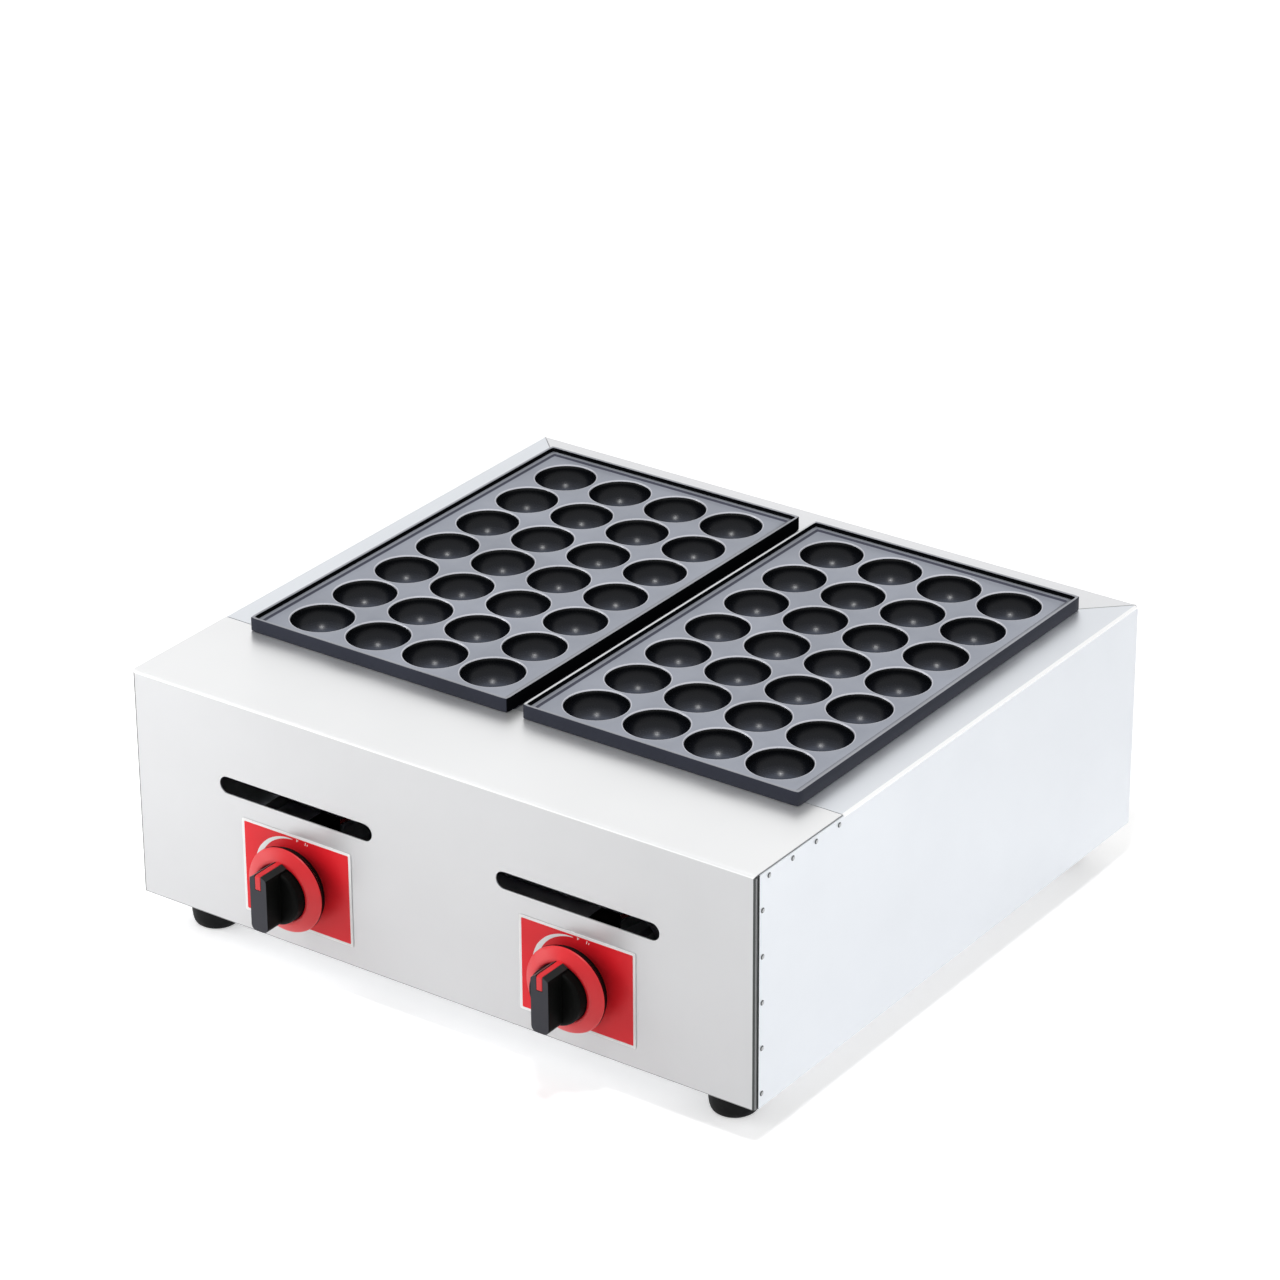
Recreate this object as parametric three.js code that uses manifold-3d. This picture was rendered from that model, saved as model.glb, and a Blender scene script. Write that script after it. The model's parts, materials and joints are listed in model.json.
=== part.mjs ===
import * as THREE from 'three';
import { mergeVertices } from 'three/addons/utils/BufferGeometryUtils.js';
import Module from 'manifold-3d';

const wasm = await Module();
wasm.setup();

// Two-plate gas takoyaki grill, in millimetres, +Z up.
// X runs to the right as the cook sees it, and +Y runs from the knobs to the rear.
// The origin is on the worktop, under the middle of the whole object.

// Clearances
const seat = 0.3;
const overrun = 6;
const grain = 1e-3;
const evenness = 4e-3;
const weld = 1e-4;

// Cabinet sheets, with their top strips round the two wells
const frontStrip = 104.5;
const rearStrip = 39.5;
const sideStrip = 41;
const seamLap = 2;
const sheet = 1;
const bendRadius = 2.5;
const sideReturn = 31;
const rearReturn = 20;
const topReturn = 12;
const panelSetback = 1.5;
const panelDrop = 1.2;
const hem = 12;
const trayLip = 11;

// Slots, rear vents and air holes
const slotLength = 140;
const slotHeight = 14;
const slotLift = 114;
const ventWidth = 8;
const ventHeight = 36;
const ventPitch = 20;
const ventLift = 132;
const ventCount = 5;
const airHoleLength = 50;
const airHoleWidth = 10;
const airHolePitch = 32;
const airHoleCount = 5;

// Rivets along the side panels' front and top edges
const rivetRadius = 1.7;
const rivetHeight = 0.9;
const rivetShank = 1.1;
const rivetFit = 0.25;
const domeShare = 0.7;
const frontRivets = { count: 5, inset: 6, first: 29.5, last: 10.5 };
const topRivets = { count: 4, inset: 5.5, first: 14.5, last: 5.9 };

// Grill plates with their cups
const cupColumns = 4;
const cupRows = 7;
const cupPitchX = 52.5;
const cupPitchY = 51;
const cupMouth = 48;
const cupDepth = 22;
const cupWall = 3.5;
const plateMarginX = 15.5;
const plateMarginY = 12.5;
const plateGap = 13.5;
const plateWall = 11;
const plateCorner = 3;
const rimWidth = 3;
const ledgeWidth = 3.5;
const ledgeHeight = 1.2;
const surfaceDrop = 4.2;
const plateThickness = 4;
const skirtWidth = 4;
const sideLap = 9.25;
const endLap = 6.5;

// Burners and the rails that carry them
const burnerWidth = 60;
const burnerHeight = 30;
const burnerLength = 300;
const burnerWall = 2;
const burnerLift = 39.6;
const burnerCorner = 6;
const flameGap = 42;
const mixerRadius = 12;
const mixerBore = 10;
const mouthRadius = 19;
const mouthLength = 25;
const portWidth = 2;
const portLength = 34;
const portCount = 12;
const railFlange = 18;
const railInset = 30;
const tubeWindow = 16;
const pipeWindow = 10;

// Gas line
const pipeRadius = 8;
const pipeBore = 6;
const pipeDrop = 30;
const pipeSetback = 27;
const pipeOverhang = 35;
const elbowInset = 70;
const elbowRadius = 11;
const elbowReach = 22;
const socketDepth = 14;
const neckRadius = 7;
const gasBore = 3;
const barbRadius = 5.2;
const barbRoot = 4.3;
const barbCount = 3;
const inletReach = 42;
const nutAcross = 22;
const nutThickness = 5;

// Gas valves, spindles and igniters
const knobLift = 54;
const bracketWidth = 74;
const bracketHeight = 50;
const bracketSheet = 1.5;
const spindleHole = 10;
const coverRadius = 17;
const coverThickness = 3;
const barrelRadius = 13;
const barrelLength = 44;
const valveBore = 8;
const valveBoreLength = 36;
const legRadius = 9;
const spindleRadius = 4;
const spindleFlat = 2.8;
const shoulderRadius = 6.5;
const shoulderLength = 1.5;
const pushTravel = 4;
const springSpace = 9.6;
const springWire = 0.8;
const springTurns = 4;
const plugOutlet = 3;
const plugPort = 2.5;
const plugWeb = 3;
const jetAcross = 12;
const jetLength = 14;
const jetStub = 5;
const jetStubRadius = 4;
const jetOrifice = 1;
const jetGap = 8;
const piezoWidth = 16;
const piezoHeight = 20;
const piezoLength = 30;
const piezoSetback = 4;
const terminalRadius = 2;
const terminalLength = 6;
const electrodeGap = 16;
const ceramicRadius = 3;
const ceramicLength = 36;
const ceramicRise = 16;
const collarRadius = 5;
const collarThickness = 4;
const sparkWire = 1;
const sparkRise = 9;
const sparkReach = 13;
const leadRadius = 1.5;
const leadSlack = 45;

// Knobs, rings and dial plates
const baseStandoff = 7;
const baseRadius = 31;
const baseThickness = 5;
const ringRadius = 33.5;
const ringEdge = 3;
const ringDepth = 8;
const ringLip = 2;
const hubRadius = 22;
const hubDepth = 22;
const hubRound = 3;
const gripWidth = 15;
const gripPeakWidth = 6;
const gripDepth = 38;
const gripTop = 25;
const gripShoulder = 22;
const gripBottom = 20.5;
const gripHeel = 17;
const gripHeelWidth = 9;
const pointerWidth = 5;
const pointerInlay = 2;
const pointerDrop = 11;
const shaftGrip = 20;
const dialWidth = 100;
const dialHeight = 76;
const dialThickness = 0.4;

// Feet
const footHeight = 28;
const footTop = 19;
const footBottom = 15;
const footEdge = 2;
const footInsetX = 41;
const footInsetY = 35;
const screwRadius = 3;
const screwFit = 0.4;
const screwHead = 6;
const screwHeadHeight = 3.5;
const footRecess = 7;
const footRecessDepth = 12;
const footNutAcross = 10;
const footNutThickness = 5;
const screwTail = 2;

// Facet counts
const roundSides = 24;
const pipeSides = 12;
const smallSides = 8;
const rivetSides = 6;
const hexSides = 6;
const cupSides = 12;
const cupRings = 3;
const bowlSides = 8;
const bowlRings = 2;
const slotSteps = 4;
const ventSteps = 2;
const bendSteps = 3;
const leadSteps = 12;
const coilSteps = 8;
const wireSides = 5;

// Sizes and places worked out from the sizes above
const plateWidth = (cupColumns - 1) * cupPitchX + cupMouth + plateMarginX * 2;
const plateLength = (cupRows - 1) * cupPitchY + cupMouth + plateMarginY * 2;
const platePitch = plateWidth + plateGap;
const wellWidth = plateWidth - sideLap * 2;
const wellLength = plateLength - endLap * 2;
const cabinetWidth = platePitch + wellWidth + sideStrip * 2;
const cabinetDepth = frontStrip + wellLength + rearStrip;
const plateBack = (frontStrip - rearStrip) / 2;
const surfaceLift = seat + plateWall - surfaceDrop;
const burnerStack = burnerLift + burnerHeight + flameGap + cupWall + cupDepth;
const cabinetHeight = knobLift + burnerStack - surfaceLift;
const electrodeSide = burnerWidth / 2 + electrodeGap;
const bodyBottom = footHeight + seat;
const bodyTop = bodyBottom + cabinetHeight;
const frontY = -cabinetDepth / 2;
const rearY = cabinetDepth / 2;
const outerX = cabinetWidth / 2;
const innerX = outerX - sheet - seat;
const seamY = frontY + frontStrip + seamLap;
const trayX = innerX - sheet - seat;
const elbowX = outerX - elbowInset;
const footX = outerX - footInsetX;
const footY = rearY - footInsetY;
const trayTop = bodyBottom + sheet;
const plateX = platePitch / 2;
const wellX = plateX + wellWidth / 2;
const wellInnerX = plateX - wellWidth / 2;
const wellRear = plateBack + wellLength / 2;
const plateBase = bodyTop + seat;
const cupPlane = plateBase + plateWall - surfaceDrop;
const knobZ = bodyBottom + knobLift;
const slotZ = bodyBottom + slotLift;
const pipeZ = knobZ - pipeDrop;
const pipeY = frontY + pipeSetback;
const bracketFront = frontY + sheet + seat;
const coverFront = bracketFront + bracketSheet + seat;
const barrelFront = coverFront + coverThickness + seat;
const barrelRear = barrelFront + barrelLength;
const boreRear = barrelFront + valveBoreLength;
const shoulderFront = barrelFront + seat;
const shoulderRear = shoulderFront + shoulderLength;
const plugFront = shoulderRear + pushTravel + seat;
const plugRear = boreRear - seat;
const outletFront = plugRear - plugOutlet * 2;
const socketRear = outletFront - plugWeb;
const spindleRear = socketRear - springSpace;
const jetFront = barrelRear + seat;
const jetTip = jetFront + jetLength;
const mouthY = jetTip + jetGap;
const burnerTop = cupPlane - cupDepth - cupWall - flameGap;
const burnerBase = burnerTop - burnerHeight;
const railTop = burnerBase - seat;
const frontRailY = plateBack - burnerLength / 2 + railInset;
const rearRailY = plateBack + burnerLength / 2 - railInset;
const baseBack = frontY - baseStandoff;
const baseFront = baseBack - baseThickness;
const ringBack = baseFront - seat;
const hubFront = baseBack - hubDepth;
const gripFront = baseBack - gripDepth;
const shaftTip = baseBack - shaftGrip;
const knobReach = frontY - gripFront;
const middleY = (inletReach - knobReach) / 2;

// Materials
const finish = (color, roughness, metalness) =>
  new THREE.MeshStandardMaterial({ color, roughness, metalness });
const steel = finish('#dfe2e6', 0.32, 0.9);
const innerSteel = finish('#b9bdc2', 0.45, 0.9);
const nonStick = finish('#4b4f5c', 0.35, 0.2);
const redPlastic = finish('#d9262f', 0.4, 0);
const blackPlastic = finish('#141416', 0.45, 0);
const redPrint = finish('#d21f33', 0.5, 0);
const rubber = finish('#1b1b1c', 0.8, 0);
const brass = finish('#c2a05a', 0.35, 0.9);
const castMetal = finish('#9da0a3', 0.5, 0.8);
const ceramic = finish('#ece8dc', 0.5, 0);
const zinc = finish('#c9cbcc', 0.4, 0.9);
const cableRed = finish('#b5221f', 0.6, 0);

// Closed meshes become solids to be joined and cut, and geometry again afterwards
function solidOf(geometry) {
  const bare = geometry.clone();
  bare.deleteAttribute('normal');
  bare.deleteAttribute('uv');
  const merged = mergeVertices(bare, weld);
  const corners = merged.index.array;
  const kept = [];
  for (let i = 0; i < corners.length; i += 3) {
    const [a, b, c] = corners.slice(i, i + 3);
    if (a !== b && b !== c && c !== a) kept.push(a, b, c);
  }
  const makeSolid = (triangles) => new wasm.Manifold(new wasm.Mesh({
    numProp: 3,
    vertProperties: Float32Array.from(
      merged.attributes.position.array,
      (value) => Math.round(value / grain) * grain,
    ),
    triVerts: Uint32Array.from(triangles),
  }));
  const solid = makeSolid(kept);
  return solid.volume() > 0 ? solid : makeSolid(kept.reverse());
}

function geometryOf(solid) {
  const mesh = solid.simplify(evenness).getMesh();
  const geometry = new THREE.BufferGeometry();
  geometry.setAttribute('position', new THREE.BufferAttribute(mesh.vertProperties, 3));
  geometry.setIndex(new THREE.BufferAttribute(mesh.triVerts, 1));
  geometry.computeVertexNormals();
  return geometry;
}

const join = (first, ...rest) => rest.reduce((sum, part) => sum.add(part), first);
const cut = (first, ...rest) => rest.reduce((sum, part) => sum.subtract(part), first);

// A block between its lowest and its highest corner
function block([x0, y0, z0], [x1, y1, z1]) {
  const geometry = new THREE.BoxGeometry(x1 - x0, y1 - y0, z1 - z0);
  geometry.translate((x0 + x1) / 2, (y0 + y1) / 2, (z0 + z1) / 2);
  return solidOf(geometry);
}

// Points of [radius, place along the axis], turned about an axis through a centre
const axisTurns = {
  X: (geometry) => geometry.rotateZ(-Math.PI / 2),
  Y: (geometry) => geometry,
  Z: (geometry) => geometry.rotateX(Math.PI / 2),
};

function turned(points, axis, centre, sides = roundSides) {
  const profile = points.map(([radius, along]) => new THREE.Vector2(radius, along));
  const geometry = axisTurns[axis](new THREE.LatheGeometry(profile, sides));
  geometry.translate(...centre);
  return solidOf(geometry);
}

const rod = (radius, from, to, axis, centre, sides) =>
  turned([[0, from], [radius, from], [radius, to], [0, to]], axis, centre, sides);

// An outline drawn in two world axes and pushed out along the third
const outlineFrames = {
  X: [new THREE.Vector3(0, 1, 0), new THREE.Vector3(0, 0, 1), new THREE.Vector3(1, 0, 0)],
  Y: [new THREE.Vector3(1, 0, 0), new THREE.Vector3(0, 0, 1), new THREE.Vector3(0, -1, 0)],
  Z: [new THREE.Vector3(1, 0, 0), new THREE.Vector3(0, 1, 0), new THREE.Vector3(0, 0, 1)],
};

function pushed(shape, axis, from, to, curveSegments = bendSteps) {
  const depth = to - from;
  const geometry = new THREE.ExtrudeGeometry(shape, { depth, bevelEnabled: false, curveSegments });
  geometry.applyMatrix4(new THREE.Matrix4().makeBasis(...outlineFrames[axis]));
  const start = { X: [from, 0, 0], Y: [0, to, 0], Z: [0, 0, from] }[axis];
  geometry.translate(...start);
  return solidOf(geometry);
}

const outline = (points) => new THREE.Shape(points.map(([a, b]) => new THREE.Vector2(a, b)));

function roundedOutline(width, length, radius, [cx, cy]) {
  const shape = new THREE.Shape();
  const right = cx + width / 2 - radius;
  const left = cx - width / 2 + radius;
  const top = cy + length / 2 - radius;
  const bottom = cy - length / 2 + radius;
  shape.absarc(right, top, radius, 0, Math.PI / 2);
  shape.absarc(left, top, radius, Math.PI / 2, Math.PI);
  shape.absarc(left, bottom, radius, Math.PI, Math.PI * 1.5);
  shape.absarc(right, bottom, radius, Math.PI * 1.5, Math.PI * 2);
  return shape;
}

// A slot with round ends, the longer way across or upright
function slotOutline(width, height, [cx, cy]) {
  const radius = Math.min(width, height) / 2;
  const reach = Math.abs(width - height) / 2;
  const shape = new THREE.Shape();
  if (width > height) {
    shape.absarc(cx + reach, cy, radius, -Math.PI / 2, Math.PI / 2);
    shape.absarc(cx - reach, cy, radius, Math.PI / 2, Math.PI * 1.5);
  } else {
    shape.absarc(cx, cy + reach, radius, 0, Math.PI);
    shape.absarc(cx, cy - reach, radius, Math.PI, Math.PI * 2);
  }
  return shape;
}

function hexOutline(across, [cx, cy]) {
  const corner = across / 2 / Math.cos(Math.PI / hexSides);
  return outline(Array.from({ length: hexSides }, (_, i) => {
    const angle = (i / hexSides) * Math.PI * 2;
    return [cx + corner * Math.cos(angle), cy + corner * Math.sin(angle)];
  }));
}

// A box's outline in Y and Z, with its upper corner at the first Y rounded
function cornerOutline(cornerY, farY, low, high, radius) {
  const inward = Math.sign(farY - cornerY);
  const shape = new THREE.Shape();
  shape.moveTo(farY, low);
  shape.lineTo(cornerY, low);
  const from = inward > 0 ? Math.PI : 0;
  shape.absarc(cornerY + inward * radius, high - radius, radius, from, Math.PI / 2, inward > 0);
  shape.lineTo(farY, high);
  return shape;
}

// The outline of a sheet that follows a mid-line with square bends
function bentSheet(points, thickness, midRadius) {
  const line = points.map(([a, b]) => new THREE.Vector2(a, b));
  const direction = (a, b) => b.clone().sub(a).normalize();
  const near = [];
  const far = [];
  line.forEach((point, i) => {
    if (i === 0 || i === line.length - 1) {
      const along = i === 0 ? direction(point, line[1]) : direction(line[i - 1], point);
      const across = new THREE.Vector2(-along.y, along.x).multiplyScalar(thickness / 2);
      near.push(point.clone().add(across));
      far.push(point.clone().sub(across));
      return;
    }
    const into = direction(line[i - 1], point);
    const out = direction(point, line[i + 1]);
    const turn = Math.sign(into.cross(out));
    const centre = point.clone().addScaledVector(into, -midRadius).addScaledVector(out, midRadius);
    for (let step = 0; step <= bendSteps; step += 1) {
      const angle = (step / bendSteps) * (Math.PI / 2);
      const spoke = into.clone().multiplyScalar(Math.sin(angle));
      spoke.addScaledVector(out, -Math.cos(angle));
      near.push(centre.clone().addScaledVector(spoke, midRadius - (turn * thickness) / 2));
      far.push(centre.clone().addScaledVector(spoke, midRadius + (turn * thickness) / 2));
    }
  });
  return new THREE.Shape([...near, ...far.reverse()]);
}

const cooker = new THREE.Group();
cooker.position.y = -middleY;
const hands = [['left', -1], ['right', 1]];

function place(name, solid, material) {
  const mesh = new THREE.Mesh(geometryOf(solid), material);
  mesh.name = name;
  cooker.add(mesh);
}

const ordered = (a, b) => (a < b ? [a, b] : [b, a]);

// The space that each grill plate's cups hang through
function wellCutter(hand) {
  const middle = hand * plateX;
  return block(
    [middle - wellWidth / 2, plateBack - wellLength / 2, bodyTop - hem - overrun],
    [middle + wellWidth / 2, wellRear, bodyTop + overrun],
  );
}

// Places of the rivets on a side panel, as [y, z]
function evenly({ count, first, last }, length) {
  const pitch = (length - first - last) / (count - 1);
  return Array.from({ length: count }, (_, i) => first + i * pitch);
}

function rivetPlaces() {
  const down = evenly(frontRivets, cabinetHeight).map((drop) =>
    [frontY + frontRivets.inset, bodyTop - drop]);
  const along = evenly(topRivets, seamY - frontY).map((back) =>
    [frontY + back, bodyTop - topRivets.inset]);
  return [...down, ...along];
}

// Front sheet: face, fold over the top, side returns and the rivets set in them
function rivet(hand, y, z) {
  const root = innerX - sheet / 2;
  const seatX = outerX + seat;
  const profile = [
    [0, root],
    [rivetShank, root],
    [rivetShank, seatX],
    [rivetRadius, seatX],
    [rivetRadius * domeShare, seatX + rivetHeight * domeShare],
    [0, seatX + rivetHeight],
  ];
  const points = profile.map(([radius, along]) => [radius, hand * along]);
  return turned(points, 'X', [0, y, z], rivetSides);
}

function makeFrontPanel() {
  const skin = cornerOutline(frontY, seamY, bodyBottom, bodyTop, bendRadius);
  const innerBend = bendRadius - sheet;
  const inside = cornerOutline(
    frontY + sheet, seamY + overrun, bodyBottom - overrun, bodyTop - sheet, innerBend);
  let panel = cut(
    pushed(skin, 'X', -innerX, innerX),
    pushed(inside, 'X', sheet - innerX, innerX - sheet),
    block(
      [-outerX, frontY + sideReturn, bodyBottom - overrun],
      [outerX, seamY + overrun, bodyTop - topReturn],
    ),
  );
  for (const [, hand] of hands) {
    const knobCentre = [hand * plateX, 0, knobZ];
    const slot = slotOutline(slotLength, slotHeight, [hand * plateX, slotZ]);
    panel = cut(
      join(panel, ...rivetPlaces().map(([y, z]) => rivet(hand, y, z))),
      wellCutter(hand),
      pushed(slot, 'Y', frontY - overrun, frontY + overrun, slotSteps),
      rod(spindleHole, frontY - overrun, frontY + overrun, 'Y', knobCentre, pipeSides),
    );
  }
  place('front_panel', panel, steel);
}

// The mitre between a side strip and the rear strip, as points of [x, y]
const mitreSlope = (rearY - wellRear) / (outerX - wellX);
const mitreY = (x) => rearY - (outerX - x) * mitreSlope;

function makeSidePanels() {
  const mid = sheet / 2;
  for (const [word, hand] of hands) {
    const midLine = [
      [hand * (outerX - mid), bodyBottom],
      [hand * (outerX - mid), bodyTop - mid],
      [hand * (wellX + mid), bodyTop - mid],
      [hand * (wellX + mid), bodyTop - hem],
    ];
    const [low, high] = ordered(hand * (outerX - sheet), hand * outerX);
    const foldX = outerX - bendRadius;
    const innerEnd = wellX - overrun;
    const mitre = outline([
      [hand * foldX, mitreY(foldX) - seat],
      [hand * innerEnd, mitreY(innerEnd) - seat],
      [hand * innerEnd, rearY + overrun],
      [hand * foldX, rearY + overrun],
    ]);
    const [notchLow, notchHigh] = ordered(hand * innerEnd, hand * (outerX + overrun));
    const holes = rivetPlaces().map(([y, z]) => {
      const [from, to] = ordered(hand * (outerX - sheet - seat / 2), hand * (outerX + sheet));
      return rod(rivetShank + rivetFit, from, to, 'X', [0, y, z], rivetSides);
    });
    const fold = pushed(bentSheet(midLine, sheet, bendRadius - mid), 'Y', seamY + seat, rearY - panelSetback);
    const flank = block(
      [low, frontY + panelSetback, bodyBottom],
      [high, seamY + overrun, bodyTop - bendRadius],
    );
    const strip = block(
      [low, frontY + panelSetback, bodyBottom + hem],
      [high, seamY + seat, bodyTop - panelDrop],
    );
    const panel = cut(
      join(fold, flank, strip),
      pushed(mitre, 'Z', bodyTop - hem - overrun, bodyTop + overrun),
      block(
        [notchLow, rearY - bendRadius - seat, bodyTop - bendRadius - seat],
        [notchHigh, rearY + overrun, bodyTop + overrun],
      ),
      ...holes,
    );
    place(`side_panel_${word}`, panel, steel);
  }
}

// Rear sheet: face with vents and the gas inlet's hole, mitred top strip and side returns
function makeRearPanel() {
  const skin = cornerOutline(rearY, wellRear, bodyBottom, bodyTop, bendRadius);
  const innerBend = bendRadius - sheet;
  const inside = cornerOutline(
    rearY - sheet, wellRear + sheet, bodyBottom - overrun, bodyTop - sheet, innerBend);
  let panel = cut(
    pushed(skin, 'X', -innerX, innerX),
    pushed(inside, 'X', sheet - innerX, innerX - sheet),
    block(
      [-outerX, wellRear - overrun, bodyBottom - overrun],
      [outerX, rearY - rearReturn, bodyTop - hem],
    ),
  );
  for (const [, hand] of hands) {
    const foldY = rearY - bendRadius;
    const innerEnd = wellRear - overrun;
    const mitreX = (y) => outerX - (rearY - y) / mitreSlope - seat;
    const mitre = outline([
      [hand * mitreX(foldY), foldY],
      [hand * mitreX(innerEnd), innerEnd],
      [hand * (outerX + overrun), innerEnd],
      [hand * (outerX + overrun), foldY],
    ]);
    panel = cut(panel, pushed(mitre, 'Z', bodyTop - hem - overrun, bodyTop + overrun));
    for (let i = 0; i < ventCount; i += 1) {
      const x = hand * plateX + (i - (ventCount - 1) / 2) * ventPitch;
      const vent = slotOutline(ventWidth, ventHeight, [x, bodyBottom + ventLift]);
      panel = cut(panel, pushed(vent, 'Y', rearY - overrun, rearY + overrun, ventSteps));
    }
  }
  const neck = rod(neckRadius + seat, rearY - overrun, rearY + overrun, 'Y', [elbowX, 0, pipeZ], pipeSides);
  place('rear_panel', cut(panel, neck), steel);
}

// Bottom tray with raised lips, air holes under the burners and the foot screws' holes
function makeBottomTray() {
  const trayFront = frontY + sheet + seat;
  const trayRear = rearY - sheet - seat;
  let tray = cut(
    block([-trayX, trayFront, bodyBottom], [trayX, trayRear, bodyBottom + trayLip]),
    block(
      [-trayX + sheet, trayFront + sheet, trayTop],
      [trayX - sheet, trayRear - sheet, bodyBottom + trayLip + overrun],
    ),
  );
  for (const [, hand] of hands) {
    for (let i = 0; i < airHoleCount; i += 1) {
      const y = plateBack + (i - (airHoleCount - 1) / 2) * airHolePitch;
      const x = hand * plateX;
      tray = cut(tray, block(
        [x - airHoleLength / 2, y - airHoleWidth / 2, bodyBottom - overrun],
        [x + airHoleLength / 2, y + airHoleWidth / 2, trayTop + overrun],
      ));
    }
    for (const y of [-footY, footY]) {
      const hole = rod(
        screwRadius + screwFit,
        bodyBottom - overrun,
        trayTop + overrun,
        'Z',
        [hand * footX, y, 0],
        smallSides,
      );
      tray = cut(tray, hole);
    }
  }
  place('bottom_tray', tray, innerSteel);
}

// Rail between the two wells, one sheet below the top
function makeCenterRail() {
  const mid = sheet / 2;
  const railX = wellInnerX - mid;
  const top = bodyTop - sheet - seat - mid;
  const foldEnd = bodyTop - hem - sheet;
  const midLine = [[-railX, foldEnd], [-railX, top], [railX, top], [railX, foldEnd]];
  const profile = bentSheet(midLine, sheet, bendRadius - mid);
  place('center_rail', pushed(profile, 'Y', seamY - topReturn, wellRear - seat), innerSteel);
}

// Grill plate: skirted slab with a raised rim and ledge, and cups hanging from it
function cupShape(radius, depth, top, collar, centre, sideCount, rings) {
  const points = [];
  for (let ring = 0; ring <= rings; ring += 1) {
    const angle = (ring / rings) * (Math.PI / 2);
    points.push([radius * Math.sin(angle), top - depth * Math.cos(angle)]);
  }
  if (collar > 0) points.push([radius, top + collar]);
  points.push([0, top + collar]);
  return turned(points, 'Z', centre, sideCount);
}

function cupCentres(hand) {
  const centres = [];
  for (let column = 0; column < cupColumns; column += 1) {
    for (let row = 0; row < cupRows; row += 1) {
      centres.push([
        hand * plateX + (column - (cupColumns - 1) / 2) * cupPitchX,
        plateBack + (row - (cupRows - 1) / 2) * cupPitchY,
        0,
      ]);
    }
  }
  return centres;
}

function makeGrillPlates() {
  const wallTop = plateBase + plateWall;
  const underside = cupPlane - plateThickness;
  const outerTop = cupPlane - plateThickness / 2;
  const outerDepth = cupDepth + cupWall - plateThickness / 2;
  for (const [word, hand] of hands) {
    const centre = [hand * plateX, plateBack];
    const inset = (edge, from, to) => pushed(
      outline([
        [centre[0] - plateWidth / 2 + edge, centre[1] - plateLength / 2 + edge],
        [centre[0] + plateWidth / 2 - edge, centre[1] - plateLength / 2 + edge],
        [centre[0] + plateWidth / 2 - edge, centre[1] + plateLength / 2 - edge],
        [centre[0] - plateWidth / 2 + edge, centre[1] + plateLength / 2 - edge],
      ]),
      'Z',
      from,
      to,
    );
    const slabOutline = roundedOutline(plateWidth, plateLength, plateCorner, centre);
    const slab = pushed(slabOutline, 'Z', plateBase, wallTop);
    const hollowed = cut(
      slab,
      inset(rimWidth, cupPlane + ledgeHeight, wallTop + overrun),
      inset(rimWidth + ledgeWidth, cupPlane, wallTop + overrun),
      inset(skirtWidth, plateBase - overrun, underside),
    );
    const cups = cupCentres(hand);
    const bowls = cups.map((cup) =>
      cupShape(cupMouth / 2 + cupWall, outerDepth, outerTop, 0, cup, bowlSides, bowlRings));
    const hollows = cups.map((cup) =>
      cupShape(cupMouth / 2, cupDepth, cupPlane, overrun, cup, cupSides, cupRings));
    const plate = cut(join(hollowed, ...bowls), ...hollows);
    place(`grill_plate_${word}`, plate, nonStick);
  }
}

// Burner: hollow bar with flame ports, fed by a riser and a mixing tube with a flared mouth
function makeBurners() {
  for (const [word, hand] of hands) {
    const x = hand * plateX;
    const middleZ = burnerBase + burnerHeight / 2;
    const from = plateBack - burnerLength / 2;
    const to = plateBack + burnerLength / 2;
    const inner = burnerWall * 2;
    const bar = pushed(
      roundedOutline(burnerWidth, burnerHeight, burnerCorner, [x, middleZ]), 'Y', from, to);
    const barBore = pushed(
      roundedOutline(burnerWidth - inner, burnerHeight - inner, burnerCorner - burnerWall, [x, middleZ]),
      'Y', from + burnerWall, to - burnerWall);
    const mouth = turned([
      [0, mouthY],
      [mouthRadius, mouthY],
      [mixerRadius, mouthY + mouthLength],
      [0, mouthY + mouthLength],
    ], 'Y', [x, 0, knobZ], pipeSides);
    const mouthBore = turned([
      [0, mouthY - overrun],
      [mouthRadius - burnerWall, mouthY - overrun],
      [mouthRadius - burnerWall, mouthY],
      [mixerBore, mouthY + mouthLength],
      [0, mouthY + mouthLength],
    ], 'Y', [x, 0, knobZ], pipeSides);
    const mixerAxis = [x, 0, knobZ];
    const mixer = rod(mixerRadius, mouthY + burnerWall, plateBack + mixerRadius, 'Y', mixerAxis, pipeSides);
    const mixerHole = rod(mixerBore, mouthY + burnerWall, plateBack + mixerBore, 'Y', mixerAxis, pipeSides);
    const riser = rod(mixerRadius, knobZ - mixerRadius, middleZ, 'Z', [x, plateBack, 0], pipeSides);
    const riserHole = rod(mixerBore, knobZ - mixerBore, middleZ, 'Z', [x, plateBack, 0], pipeSides);
    const portPitch = (burnerLength - inner * 2) / portCount;
    const ports = Array.from({ length: portCount }, (_, i) => {
      const y = plateBack + (i - (portCount - 1) / 2) * portPitch;
      return block(
        [x - portLength / 2, y - portWidth / 2, middleZ],
        [x + portLength / 2, y + portWidth / 2, burnerTop + overrun],
      );
    });
    const outside = join(bar, mouth, mixer, riser);
    const inside = join(barBore, mouthBore, mixerHole, riserHole);
    place(`burner_${word}`, cut(outside, inside, ...ports), innerSteel);
  }
}

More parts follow.
